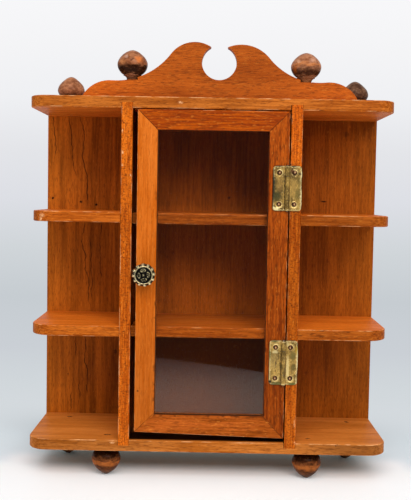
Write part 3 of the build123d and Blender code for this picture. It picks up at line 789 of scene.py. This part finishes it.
# ---------------------------------------------------------------------------
# Door frame
# Four mitred members. The left stile is a paler, straight-grained length, and the others are
# darker with open pores. The mitres show as dark lines where the glue has shrunk.
# ---------------------------------------------------------------------------
door_low, door_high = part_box("door_left_stile")[0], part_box("door_right_stile")[1]
door_middle = (door_low + door_high) / 2
door_half_width = (door_high.x - door_low.x) / 2
stile_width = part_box("door_left_stile")[1].x - door_low.x
sight_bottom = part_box("door_bottom_rail")[1].z
bottom_left_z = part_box("door_left_stile")[0].z
bottom_right_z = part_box("door_right_stile")[0].z
bottom_slope = (bottom_right_z - bottom_left_z) / (door_high.x - door_low.x)
bottom_level = bottom_left_z - bottom_slope * door_low.x
bottom_rail_width = sight_bottom - (bottom_left_z + bottom_right_z) / 2


def mitre_lines_and_shade(place):
    """Dark lines on the mitres, painted shade along the arris round the glass, and darkening in its lower
    inner corners.
    """
    x, _, z = along(place)
    in_from_side = door_half_width - abs(x - door_middle.x)
    top_gap = door_high.z - z
    bottom_gap = z - (x * bottom_slope + bottom_level)
    ratio = stile_width / bottom_rail_width
    top_line = falling(abs(in_from_side - top_gap), 0.00010, 0.00045, 0.75)
    bottom_line = falling(abs(in_from_side - bottom_gap * ratio), 0.00010, 0.00045, 0.6)
    shrunk = between(cloud(place, (0.3, 0.3, 0.3), 0.004), 0.3, 0.55, 0.45, 1.0)
    line = maths("MAXIMUM", top_line, bottom_line) * shrunk
    off_side, off_top = in_from_side - stile_width, top_gap - stile_width
    off_bottom = z - sight_bottom
    inward = maths("MINIMUM", off_side, maths("MINIMUM", off_top, off_bottom))
    # Painted shade along the arris round the glass.
    sight_line = between(inward, -0.00055, -0.00015, 0.0, 0.85)
    # Darkening on the frame in its lower inner corners.
    corner = abs(off_side) + abs(off_bottom) + shrunk
    corner_darkening = falling(corner, 0.0018 + 0.4, 0.0040 + 0.9, 0.7) * between(inward, -0.0022, -0.0003)
    return maths("MAXIMUM", line, maths("MAXIMUM", sight_line, corner_darkening))


smooth_look = dict(
    broad=0.3, rings=0.04, streaks=0.25, pores=0.2, dashes=0.08, gold=0.3, wear_and_highlight=0.5, arris="upright"
)
stile_look = dict(
    broad=0.2, rings=0.06, streaks=0.5, pores=0.5, dashes=0.5, gold=0.3, wear_and_highlight=0.6, arris="upright"
)
rail_look = dict(
    broad=0.35, rings=0.08, streaks=0.45, pores=0.4, dashes=0.4, gold=0.3, wear_and_highlight=0.6, arris="flat"
)
smooth_look["front"] = ((0.035, 0.72), (0.07, 0.8), (0.11, 0.93), (0.16, 1.0))
stile_look["front"] = ((0.04, 0.68), (0.12, 0.77), (0.19, 0.9))
screw_dent = marks_at(front_y, 2.0, ((-39.0, 50.8, 0.8, 0.9, dent_brown, 0.9),))
for name, grain, shift, dark, light, look, marks in (
    ("left_stile", "Z", (0.15, 0.3, 0.8), tint(188, 89, 12), tint(220, 118, 38), smooth_look, screw_dent),
    ("right_stile", "Z", (0.65, 0.3, 0.1), tint(136, 53, 2), tint(184, 84, 14), stile_look, ()),
    ("top_rail", "X", (0.35, 0.6, 0.2), tint(140, 52, 0), tint(192, 87, 2), rail_look, ()),
    ("bottom_rail", "X", (0.85, 0.9, 0.6), tint(136, 62, 6), tint(180, 88, 26), rail_look, ()),
):
    wood = lacquered_wood("door_" + name + "_wood", grain, shift, dark, light, look, marks, None, mitre_lines_and_shade)
    finish_node("door_" + name, wood)


# ---------------------------------------------------------------------------
# Door glass and its strips
# A clear pane in the rabbet, held from behind by four thin strips of softwood.
# ---------------------------------------------------------------------------
glass, shader, place = new_material("door_pane")
smear = cloud(place, (0.1, 0.1, 0.1), (0.02, 0.02, 0.03))
inputs = {
    "Base Color": (0.94, 0.88, 0.77, 1),
    "Roughness": between(smear, 0.3, 0.7, 0.01, 0.04),
    "Transmission Weight": 1.0,
    "IOR": 1.43,
    "Specular Tint": (1.0, 0.96, 0.90, 1),
}
plug(shader, inputs)


def mixed(factor, first, second):
    """Two surfaces mixed."""
    return output(factor.tree, "MixShader", 0, {0: factor, 1: first, 2: second})


def show(material, surface):
    """Makes a surface the one that its material shows."""
    plug(material.node_tree.nodes["Material Output"], {"Surface": surface})


clear = output(place.tree, "BsdfTransparent", 0, {"Color": (0.94, 0.935, 0.93, 1)})
show(glass, mixed(output(place.tree, "LightPath", "Is Shadow Ray"), Value(shader.outputs[0]), clear))
finish_node("door_glass", glass)
strip_look = dict(
    broad=0.3, rings=0.1, streaks=0.3, pores=0.2, dashes=0.2, gold=0.1, wear_and_highlight=0.0, arris="flat", gloss=0.55
)
for side, grain in (("left", "Z"), ("right", "Z"), ("top", "X"), ("bottom", "X")):
    dark, light = tint(140, 78, 36), tint(180, 110, 60)
    wood = lacquered_wood(f"strip_{side}_wood", grain, (0.4, 0.2, 0.6), dark, light, strip_look)
    finish_node("glass_strip_" + side, wood)


# ---------------------------------------------------------------------------
# Knob
# A small cast brass rosette on a stem, blackened and then rubbed bright on its high points: a
# toothed rim, a ring, and four hollow petals round a boss.
# ---------------------------------------------------------------------------
knob_place = Vector((-0.036, front_y, base_z + 0.1005))
knob_turn = radians(5.5)
knob_height = 9.5
knob_teeth = 12
knob_steps = 144
face_level = 7.9
petal_edge, ring_edge = 4.0, 5.4
ring_middle, ring_half, ring_height = 4.75, 0.75, 0.9
tooth_start, tooth_depth = 5.0, 0.55
petal_middle = 2.65
boss_radius, boss_height = 1.1, 1.55
knob_back = (
    *((0.0, 0.0), (3.25, 0.0), (3.25, 0.9), (2.25, 1.5), (2.25, 3.0)),
    *((2.7, 4.2), (3.8, 5.2), (5.7, 5.95), (6.2, 6.35)),
)
knob_rim = ((6.35, 6.6), (6.35, 7.0), (6.3, 7.3))


def knob_face(radius):
    """The height of the plain turned face above the door, in millimetres, before the pattern is struck."""
    if radius < petal_edge:
        return face_level
    if radius < ring_edge:
        return face_level + ring_height * (0.5 + 0.5 * cos(pi * (radius - ring_middle) / ring_half))
    return 8.15 - 0.85 * (radius - ring_edge)


def struck(radius, angle):
    """How far the pattern lifts or sinks the face there, and how bright its rubbing is, from 0 to 1, with
    painted light making the upper side brighter.
    """
    lift, rubbed_and_lit = 0.0, 0.0
    if radius > 4.2:
        rubbed_and_lit = max(0.0, 1.0 - abs(radius - 4.85) / ring_half)
    if radius > tooth_start:
        tooth = 0.5 + 0.5 * cos(knob_teeth * angle)
        share = min(1.0, (radius - tooth_start) / 0.5)
        lift += share * (tooth_depth * tooth - tooth_depth * (1 - tooth))
        rubbed_and_lit = max(rubbed_and_lit * (1 - share), share * max(0.0, tooth * 1.8 - 0.5), 0.3 * share)
    if radius < petal_edge:
        quarter = pi / 2
        turn = (angle + pi / 4) % quarter - pi / 4
        out, side = radius * cos(turn) - petal_middle + 0.11 * (radius * sin(turn)) ** 2, radius * sin(turn)
        far = hypot(out / 0.95, side / 1.75)
        rim = exp(-(((far - 0.78) / 0.24) ** 2))
        lift += 0.75 * rim + 0.2 * max(0.0, 1 - far / 0.5)
        rubbed_and_lit = max(rubbed_and_lit, 0.6 * rim, 0.45 * max(0.0, 1 - far / 0.9))
    if radius < boss_radius:
        boss = max(0.0, 1 - (radius / boss_radius) ** 2)
        lift = max(lift, boss_height * boss)
        rubbed_and_lit = max(rubbed_and_lit, 0.45 * boss)
    # The rubbing is made brighter towards the knob's upper side, as painted light.
    return lift, rubbed_and_lit * (0.9 + 0.14 * sin(angle + 0.3))


def rosette():
    """The knob standing up from the XY plane, in millimetres, with its rubbing and its painted light stored
    on its points.
    """
    face_radii = [6.2, 6.0, 5.8, 5.6, 5.4, 5.2, 5.05, 4.9, 4.75, 4.6, 4.45, 4.3, 4.1]
    face_radii += [3.9 - 0.2 * step for step in range(19)] + [0.15, 0.0]
    face = tuple((radius, knob_face(radius)) for radius in face_radii)
    bm = turned(knob_back + knob_rim + face, knob_steps)
    layer = bm.verts.layers.float.new("rubbed_and_lit")
    for vert in bm.verts:
        radius, angle = hypot(vert.co.x, vert.co.y), atan2(vert.co.y, vert.co.x)
        if vert.co.z > 7.2:
            lift, vert[layer] = struck(radius, angle)
            vert.co.z = min(knob_height, vert.co.z + lift)
        if radius > 5.5 and vert.co.z > 5.9:
            dip = (0.5 - 0.5 * cos(knob_teeth * angle)) ** 2
            scale = 1 - 0.04 * dip * min(1.0, (radius - 5.5) / 0.6)
            vert.co.x *= scale
            vert.co.y *= scale
    return bm


brass, shader, place = new_material("antique_brass")
rubbed_and_lit = output(place.tree, "Attribute", "Fac", attribute_name="rubbed_and_lit")
# The rubbing, with the painted light on the upper side, broken by a fine speckle.
worn_and_lit = between(rubbed_and_lit + between(cloud(place, (0.1, 0.2, 0.3), 0.0006), 0.3, 0.7, -0.2, 0.2), 0.25, 0.75)
inputs = {
    "Base Color": blended(worn_and_lit, tint(24, 22, 18), tint(246, 230, 178)),
    "Roughness": between(worn_and_lit, 0.0, 1.0, 0.42, 0.28),
    "Metallic": 0.85,
}
plug(shader, inputs)
bm = rosette()
stand = Matrix.Translation(knob_place) @ Matrix.Rotation(pi / 2, 4, "X") @ Matrix.Rotation(knob_turn, 4, "Z")
bmesh.ops.transform(bm, matrix=stand @ Matrix.Scale(0.001, 4), verts=bm.verts)
piece_for("door_knob", bm, "rosette_knob", brass, "door")


# ---------------------------------------------------------------------------
# Hinges
# Two pressed brass butt hinges with steel pins, nailed on the faces of door and upright. The sheet
# is rolled round the pin, dished round each nail, and tarnished olive and black with bright wear.
# ---------------------------------------------------------------------------
hinge_axis = Vector((0.042, front_y - 0.0017, 0))
hinge_middle = base_z + 0.1007
hinge_levels = {"upper": hinge_middle + 0.0485, "lower": hinge_middle - 0.0485}
leaf_thickness = 0.0008
leaf_reach = 0.008
leaf_inner = 0.0008
leaf_half = 0.0125
leaf_corner = 0.0021
barrel_radius = 0.00112
bore_radius = 0.00076
knuckle_gap = 0.0003
outer_knuckle = 0.0057
roll_angle, roll_steps = radians(-304), 38
strip_overlap, strip_gap = 0.0003, 0.00002
nail_reach = {-1: 0.0044, 1: 0.0039}
nail_rise = 0.0087
nail_steps = 28
dish_radius, dish_width, dish_depth = 0.0017, 0.0003, 0.00016
edge_width, edge_drop = 0.0003, 0.00018
dent_depth, dent_scale = 0.00003, 500


def leaf_plate(bm, side, level):
    """The flat of one leaf: a closed plate with rounded outer corners, dished round its nails."""
    made = bmesh.ops.create_grid(bm, x_segments=27, y_segments=100, size=1.0)
    widest = max(vert.co.x for vert in made["verts"])
    nails = [(nail_reach[side], end * nail_rise) for end in (-1, 1)]
    for vert in made["verts"]:
        across = leaf_inner + (vert.co.x / widest + 1) / 2 * (leaf_reach - leaf_inner)
        up = vert.co.y / widest * leaf_half
        from_side, from_end = leaf_reach - across, leaf_half - abs(up)
        if from_side < leaf_corner and from_end < leaf_corner:
            out = Vector((leaf_corner - from_side, leaf_corner - from_end))
            if out.length > leaf_corner:
                out = out.normalized() * leaf_corner
            across = leaf_reach - leaf_corner + out.x
            up = (leaf_half - leaf_corner + out.y) * (1 if up > 0 else -1)
            from_side, from_end = leaf_corner - out.length, leaf_corner - out.length
        edge = min(from_side, from_end)
        drop = edge_drop * max(0.0, 1 - edge / edge_width) ** 2
        for nail_across, nail_up in nails:
            far = hypot(across - nail_across, up - nail_up)
            drop += dish_depth * exp(-(((far - dish_radius) / dish_width) ** 2))
        drop += dent_depth * (1 + noise.noise(Vector((across, up, level)) * dent_scale))
        vert.co = Vector((hinge_axis.x + side * across, front_y - leaf_thickness + drop, level + up))
    plate = [face for face in bm.faces if face.verts[0] in set(made["verts"])]
    back = bmesh.ops.extrude_face_region(bm, geom=plate, use_keep_orig=True)
    for item in back["geom"]:
        if isinstance(item, bmesh.types.BMVert):
            item.co.y = front_y


def knuckle(bm, side, low, high):
    """Part of the barrel: a strip of the sheet carried on from the plate and rolled round the pin."""
    inner_y, outer_y = hinge_axis.y + bore_radius, hinge_axis.y + barrel_radius
    corners = ((inner_y, low), (outer_y, low), (outer_y, high), (inner_y, high))
    end_face = bm.faces.new([bm.verts.new((hinge_axis.x, y, z)) for y, z in corners])
    roll = dict(axis=(0, 0, -side), angle=roll_angle, steps=roll_steps)
    bmesh.ops.spin(bm, geom=[end_face], cent=hinge_axis, **roll)
    strip = bmesh.ops.create_cube(bm, size=1.0)["verts"]
    thick = front_y - outer_y
    size = Vector((leaf_inner + strip_overlap, leaf_thickness - thick - strip_gap, high - low))
    middle = Vector((hinge_axis.x + side * size.x / 2, outer_y - size.y / 2, (low + high) / 2))
    for vert in strip:
        vert.co = Vector(vert.co[axis] * size[axis] + middle[axis] for axis in range(3))


def hinge_brass(name, side, level, stains_and_light):
    """Old brass sheet, tarnished olive and brown, scuffed bright at nails and edges, with painted light and
    shade at the barrel.
    """
    material, shader, place = new_material(name)
    rough_place = ragged(place, 0.0012, 0.0006)
    dull = cloud(place, (0.2, 0.5, 0.3 * level), (0.0030, 0.0030, 0.0045), 3.0, 0.2)
    fine = cloud(place, (0.8, 0.5, 0.3), (0.0006, 0.0006, 0.0010))
    colour = blended(between(dull, 0.34, 0.64), tint(112, 86, 32), tint(208, 166, 84))
    colour = blended(between(fine, 0.42, 0.62, 0.0, 0.4), colour, tint(92, 74, 32))
    colour = blended(between(fine, 0.40, 0.30, 0.0, 0.4), colour, tint(246, 216, 150))
    x, _, z = along(place)
    from_side = leaf_reach - abs(x - hinge_axis.x)
    from_end = leaf_half - abs(z - level)
    edge = maths("MINIMUM", from_side, from_end)
    uneven_edge = edge + between(fine, 0.3, 0.7, -0.0003, 0.0003)
    bright_line = between(uneven_edge, 0.0003, 0.0005) * falling(uneven_edge, 0.0007, 0.0010, 0.6)
    colour = blended(bright_line, colour, tint(250, 224, 160))
    colour = blended(falling(edge, 0.0001, 0.0004, 0.75), colour, tint(60, 44, 18))
    for across, up, wide, high, stain_and_light, strength in stains_and_light + barrel_highlight_and_shade + knuckle_gap_shade:
        at = (hinge_axis.x + side * across / 1000, front_y - leaf_thickness, level + up / 1000)
        spot = patch(rough_place, at, (wide / 1000, 0.002, high / 1000), 0.6)
        colour = blended(spot * strength, colour, stain_and_light)
    inputs = {
        "Base Color": colour,
        "Roughness": between(dull, 0.35, 0.65, 0.5, 0.34),
        "Normal": bumped(fine, 0.35, 0.00008),
        "Metallic": 0.5,
    }
    plug(shader, inputs)
    return material


# Blender seeds this noise from the clock, so a seed of its own keeps the crowns where they are
noise.seed_set(1)
crown_shift = 0.0004


def nail_finish(name, seats):
    """Rusty brown heads with their crowns polished pale."""
    material, shader, place = new_material(name)
    rough_place = ragged(place, 0.0007, 0.00035)
    rust = between(cloud(place, (0.2, 0.5, 0.8), 0.0009), 0.35, 0.65)
    colour = blended(rust, tint(40, 20, 6), tint(96, 56, 24))
    for seat in seats:
        push = noise.noise_vector(seat * 900) * crown_shift
        crown = patch(rough_place, seat + Vector((push.x, 0, push.z)), (0.0006, 0.003, 0.0008), 0.6)
        colour = blended(crown * 0.85, colour, tint(196, 150, 104))
    inputs = {
        "Base Color": colour,
        "Roughness": between(rust, 0.0, 1.0, 0.5, 0.36),
        "Specular IOR Level": 0.15,
    }
    plug(shader, inputs)
    return material


# Marks of tarnish, scuffing and painted light lie across from the pin and up from the leaf's middle, each
# with its reach in both, in millimetres
black_green = tint(24, 26, 12)
olive = tint(112, 98, 46)
bright_brass = tint(255, 236, 170)
# Painted shade in the gaps between the knuckles.
knuckle_gap_shade = tuple((0.0, end * 6.65, 1.7, 0.42, tint(52, 32, 14), 0.95) for end in (-1, 1))
round_nails = tuple((4.1, end * 9.1, 2.4, 2.4, tint(255, 224, 146), 0.85) for end in (-1, 1))
# Painted highlights on the barrel, and a painted shaded line where it meets the plate.
barrel_highlight_and_shade = (
    (0.0, 9.6, 0.8, 3.2, tint(220, 190, 116), 0.75), (0.0, -9.6, 0.8, 3.2, tint(220, 190, 116), 0.75),
    (0.0, 0.0, 0.5, 6.4, tint(214, 180, 100), 0.6), (1.4, 0.0, 0.26, 13.0, tint(70, 52, 20), 0.75),
)
# Painted shade in the groove beside the barrel, with bright specks along the barrel.
barrel_groove_shade = (
    (1.3, 0.0, 0.34, 14.0, black_green, 1.0), (0.2, 7.5, 1.4, 0.35, bright_brass, 0.8),
    (0.0, 1.6, 0.5, 0.6, bright_brass, 0.9), (0.2, -0.4, 0.4, 0.4, bright_brass, 0.9),
    (0.1, -3.2, 0.4, 0.7, bright_brass, 0.8), (0.0, -5.6, 0.5, 0.6, bright_brass, 0.9),
)
stains_and_light = {
    ("upper", "door"): (
        (8.4, 0.0, 2.4, 14.0, black_green, 0.95), (5.6, -4.6, 2.8, 4.6, tint(60, 62, 24), 0.75),
        (4.0, 2.0, 2.2, 5.0, tint(146, 108, 52), 0.5), (5.2, 12.4, 3.4, 0.9, black_green, 0.8),
        *round_nails,
        (5.8, -11.2, 2.2, 1.2, bright_brass, 0.9), (7.0, -10.6, 0.7, 1.4, bright_brass, 0.7),
        (6.9, -9.7, 0.5, 0.6, black_green, 1.0),
        *barrel_groove_shade,
    ),
    # In both frame leaves, the pale marks within 2.5 mm of the pin are painted light, brightening the groove
    # beside the barrel.
    ("upper", "frame"): (
        (5.6, -3.5, 2.2, 4.0, olive, 0.65), (6.6, 3.0, 1.2, 5.0, olive, 0.4),
        (3.6, 0.0, 1.6, 6.0, tint(196, 154, 78), 0.5),
        *round_nails,
        (7.4, 11.6, 1.0, 1.0, olive, 0.6), (6.9, 8.2, 0.6, 0.7, black_green, 0.9),
        (7.8, -5.0, 0.45, 6.5, bright_brass, 1.0), (7.8, 8.0, 0.4, 3.0, bright_brass, 0.9),
        (2.6, 9.6, 1.1, 1.6, tint(104, 52, 30), 0.85), (1.6, -3.0, 0.8, 10.0, tint(226, 182, 96), 0.5),
        (3.4, 12.1, 1.6, 0.5, black_green, 0.7),
    ),
    ("lower", "door"): (
        (5.0, 1.0, 3.0, 7.0, tint(170, 142, 82), 0.5), (7.6, 4.5, 0.8, 4.0, tint(104, 102, 50), 0.7),
        (3.0, -11.8, 5.0, 1.3, tint(84, 84, 34), 0.85),
        *round_nails,
        (4.1, -0.5, 0.3, 3.4, tint(60, 42, 22), 1.0), (4.3, -4.8, 0.45, 0.7, black_green, 1.0),
        (7.2, -10.8, 1.0, 1.2, black_green, 1.0), (5.0, 12.0, 3.0, 0.6, tint(84, 86, 40), 0.8),
        (4.6, 6.0, 2.2, 1.2, bright_brass, 0.5),
        *barrel_groove_shade,
    ),
    ("lower", "frame"): (
        (5.4, 4.0, 2.0, 3.4, tint(120, 104, 48), 0.8), (5.8, -2.5, 1.2, 2.4, olive, 0.6),
        (5.0, -11.8, 3.0, 1.0, tint(82, 92, 38), 0.9),
        *round_nails,
        (2.4, -3.0, 1.3, 9.0, tint(250, 222, 150), 0.75), (2.2, 10.4, 1.0, 1.8, tint(250, 222, 150), 0.6),
        (7.3, 7.0, 0.8, 4.0, tint(186, 146, 34), 0.8), (7.8, 2.0, 0.45, 8.0, bright_brass, 0.8),
        (4.0, 8.4, 1.9, 1.9, tint(150, 84, 40), 0.35),
    ),
}

nail_outline = (
    *((0.55, 0.0), (1.4, 0.0), (1.39, 0.18), (1.27, 0.42), (1.05, 0.58)),
    *((0.8, 0.68), (0.5, 0.72), (0.3, 0.68), (0.15, 0.64), (0.0, 0.63)),
)
nail_lengths = {"door": 4.0, "frame": 8.0}
beaten_in, beaten_up = 0.26, 0.15


def hinge_nails(seats, side, level, length):
    """The two nails of a leaf, each with a head beaten a little out of round."""
    nails = bmesh.new()
    for count, seat in enumerate(seats):
        one = turned(((0.0, -length), (0.55, 1.1 - length)) + nail_outline, nail_steps)
        for vert in one.verts:
            if vert.co.z > 0.01:
                push = noise.noise(vert.co * 1.6 + Vector((count, side, level * 90)) * 7)
                vert.co.xy *= 1 - beaten_in * max(0.0, push)
                vert.co.z *= 1 + beaten_up * push
        stand = Matrix.Translation(seat) @ Matrix.Rotation(pi / 2, 4, "X") @ Matrix.Scale(0.001, 4)
        bmesh.ops.transform(one, matrix=stand, verts=one.verts)
        shape = bpy.data.meshes.new("one_nail")
        one.to_mesh(shape)
        one.free()
        nails.from_mesh(shape)
        bpy.data.meshes.remove(shape)
    return nails


for level_name, level in hinge_levels.items():
    for part, side, body in (("door", -1, "door"), ("frame", 1, "case")):
        bm = bmesh.new()
        leaf_plate(bm, side, level)
        inner_half = leaf_half - outer_knuckle - knuckle_gap
        if part == "door":
            knuckle(bm, side, level - inner_half, level + inner_half)
        else:
            knuckle(bm, side, level - leaf_half, level - leaf_half + outer_knuckle)
            knuckle(bm, side, level + leaf_half - outer_knuckle, level + leaf_half)
        bmesh.ops.recalc_face_normals(bm, faces=bm.faces)
        name = f"{level_name}_hinge_{part}_leaf"
        brass = hinge_brass(f"{level_name}_{part}_brass", side, level, stains_and_light[level_name, part])
        piece_for(name, bm, name + "_sheet", brass, body, smooth=False)

        across = hinge_axis.x + side * nail_reach[side]
        seats = [Vector((across, front_y - leaf_thickness, level + end * nail_rise)) for end in (-1, 1)]
        nails = hinge_nails(seats, side, level, nail_lengths[part])
        name = f"{level_name}_hinge_{part}_nails"
        finish = nail_finish(f"{level_name}_{part}_nail_rust", seats)
        piece_for(name, nails, name + "_heads", finish, body)
    finish_node(level_name + "_hinge_pin", steel)


# ---------------------------------------------------------------------------
# Studio
# A white floor running back into a pale grey sweep, two soft lamps, a dim room and the camera.
# ---------------------------------------------------------------------------
sheet_reach = 0.338
sheet_slant = 0.62
sheet_turns = (-1.2, -0.2, 0.2, 1.2)
bend_start = 0.08
backdrop_y = 0.55
backdrop_height = 1.2


def arc_points(centre, radius, start, stop, count):
    """Points along an arc, with angles in degrees from the first axis."""
    angles = [radians(start + (stop - start) * step / count) for step in range(count + 1)]
    return [(centre[0] + radius * cos(angle), centre[1] + radius * sin(angle)) for angle in angles]


def studio_surface():
    """The floor, bent up behind the case into the backdrop. The front edge of the floor is laid askew."""
    bm = bmesh.new()
    radius = backdrop_y - bend_start
    line = [(front_y - sheet_reach, 0.0)] + arc_points((bend_start, radius), radius, -90, 0, 24)
    line += [(backdrop_y, backdrop_height)]
    verts = [bm.verts.new((sheet_turns[0], y, z)) for y, z in line]
    edges = [bm.edges.new(pair) for pair in zip(verts, verts[1:])]
    fronts = [verts[0]]
    for x, last_x in zip(sheet_turns[1:], sheet_turns):
        made = bmesh.ops.extrude_edge_only(bm, edges=edges)["geom"]
        edges = [item for item in made if isinstance(item, bmesh.types.BMEdge)]
        moved = [item for item in made if isinstance(item, bmesh.types.BMVert)]
        bmesh.ops.translate(bm, vec=(x - last_x, 0, 0), verts=moved)
        fronts.append(min(moved, key=lambda vert: vert.co.y))
    for vert in fronts:
        vert.co.y += sheet_slant * max(-0.2, min(0.2, vert.co.x))
    bmesh.ops.recalc_face_normals(bm, faces=bm.faces)
    for face in bm.faces:
        if face.normal.z < 0 or (abs(face.normal.z) < 0.01 and face.normal.y > 0):
            face.normal_flip()
    return bm


def ramp(value, low, high, stops):
    """Colours laid out along a span."""
    share = output(value.tree, "MapRange", 0, {"Value": value, "From Min": low, "From Max": high})
    colours = output(value.tree, "ValToRGB", 0, {"Fac": share})
    marks = colours.socket.node.color_ramp.elements
    while len(marks) < len(stops):
        marks.new(0.5)
    for mark, (at, colour) in zip(marks, stops):
        mark.position = (at - low) / (high - low)
        mark.color = colour
    return colours


floor_stops = (
    (-0.385, tint(120, 114, 118)), (-0.330, tint(190, 182, 184)), (-0.270, tint(240, 234, 232)),
    (-0.210, tint(255, 252, 250)), (-0.020, tint(255, 255, 254)), (-0.008, tint(253, 254, 251)),
    (0.0006, tint(240, 246, 248)), (0.009, tint(230, 236, 241)), (0.018, tint(225, 233, 238)),
    (0.034, tint(221, 229, 233)),
)
wall_stops = (
    (0.0, tint(213, 218, 222)), (0.009, tint(209, 215, 219)), (0.028, tint(202, 207, 213)),
    (0.063, tint(198, 204, 209)), (0.106, tint(208, 213, 217)), (0.157, tint(221, 223, 229)),
    (0.213, tint(228, 229, 233)), (0.273, tint(239, 240, 243)), (0.336, tint(244, 244, 246)),
    (0.392, tint(247, 247, 249)),
)
floor_glow_strength = 0.13
beside_case_light_strength = 0.85
paper, shader, place = new_material("studio_paper")
tree = place.tree
x, y, z = along(place)
from_middle = abs(x)
# Painted shade colour: the floor under the case is tinted blue-green, so that its shade there turns grey
# rather than warm.
under_case_shade_tint = between(x, -0.11, -0.08) * falling(x, 0.08, 0.11)
under_case_shade_tint *= between(y, front_y + 0.016, front_y + 0.034)
# Painted light: the floor just beside the case is painted white, lifting the case's shadow there.
painted_light_beside_case = between(from_middle, 0.085, 0.100) * falling(from_middle, 0.112, 0.128)
painted_light_beside_case *= falling(y, 0.008, 0.030)
floor_colour = ramp(y, -0.40, 0.04, floor_stops)
floor_colour = blended(painted_light_beside_case * beside_case_light_strength, floor_colour, tint(255, 255, 255))
floor_colour = blended(under_case_shade_tint, floor_colour, tint(206, 224, 222))
plug(shader, {"Base Color": floor_colour, "Roughness": 0.9, "Specular IOR Level": 0.0})
glow = output(tree, "Emission", 0, {"Color": ramp(z, 0.0, 0.4, wall_stops), "Strength": 1.0})
dim = output(tree, "BsdfDiffuse", 0, {"Color": (0.45, 0.46, 0.47, 1)})
# Painted light: a faint glow over the floor from its front edge to just under the case, lifting the case's
# shadow.
floor_glow = output(tree, "Emission", 0, {"Color": (0.95, 1.0, 1.0, 1), "Strength": 1.0})
camera_ray, glossy_ray, passing_ray = (
    output(tree, "LightPath", f"Is {kind} Ray") for kind in ("Camera", "Glossy", "Transmission")
)
seen = maths("MAXIMUM", camera_ray, maths("MAXIMUM", glossy_ray, passing_ray))
wall = mixed(seen, dim, glow)
floor_glow_share = seen * falling(y, front_y + 0.018, front_y + 0.034, floor_glow_strength)
floor = mixed(floor_glow_share, Value(shader.outputs[0]), floor_glow)
show(paper, mixed(between(y, 0.05, 0.14), floor, wall))
object_from(studio_surface(), "studio_sweep", paper)


def soft_lamp(name, place, size, power):
    """A square area lamp that points at the middle of the case."""
    lamp = bpy.data.lights.new(name, "AREA")
    lamp.shape = "RECTANGLE"
    lamp.size, lamp.size_y = size
    lamp.energy = power
    made = placed(name, lamp)
    made.location = place
    made.rotation_euler = (case_middle - Vector(place)).to_track_quat("-Z", "Y").to_euler()


case_middle = Vector((0, 0, 0.12))
soft_lamp("key_lamp", (-0.06, -0.93, 1.06), (0.9, 0.7), 9.45)
soft_lamp("fill_lamp", (0.46, -1.02, 0.72), (0.5, 0.4), 4.4)

world = bpy.data.worlds.new("studio")
bpy.context.scene.world = world
world.use_nodes = True
tree = world.node_tree
camera_ray, glossy_ray = (output(tree, "LightPath", f"Is {kind} Ray") for kind in ("Camera", "Glossy"))
ambient = blended(camera_ray, (0.60, 0.61, 0.62, 1), tint(240, 241, 245))
ambient = blended(glossy_ray, ambient, (0.07, 0.06, 0.05, 1))
plug(tree.nodes["Background"], {"Color": ambient, "Strength": 1.0})

camera_distance = 0.4778
camera_height = 0.1595
camera_x = 0.001
camera_yaw, camera_dip, camera_roll = radians(0.412), radians(3.45), radians(1.0)
focal_pixels = 863.0
picture_height = 500
sensor_height = 24.0
camera = bpy.data.cameras.new("camera")
camera.sensor_fit = "VERTICAL"
camera.sensor_height = sensor_height
camera.lens = sensor_height * focal_pixels / picture_height
camera_object = placed("camera", camera)
aim = Matrix.Rotation(camera_yaw, 4, "Z") @ Matrix.Rotation(pi / 2 - camera_dip, 4, "X")
aim = aim @ Matrix.Rotation(camera_roll, 4, "Z")
camera_object.matrix_world = Matrix.Translation((camera_x, front_y - camera_distance, camera_height)) @ aim
bpy.context.scene.camera = camera_object
bpy.context.scene.view_settings.view_transform = "Standard"
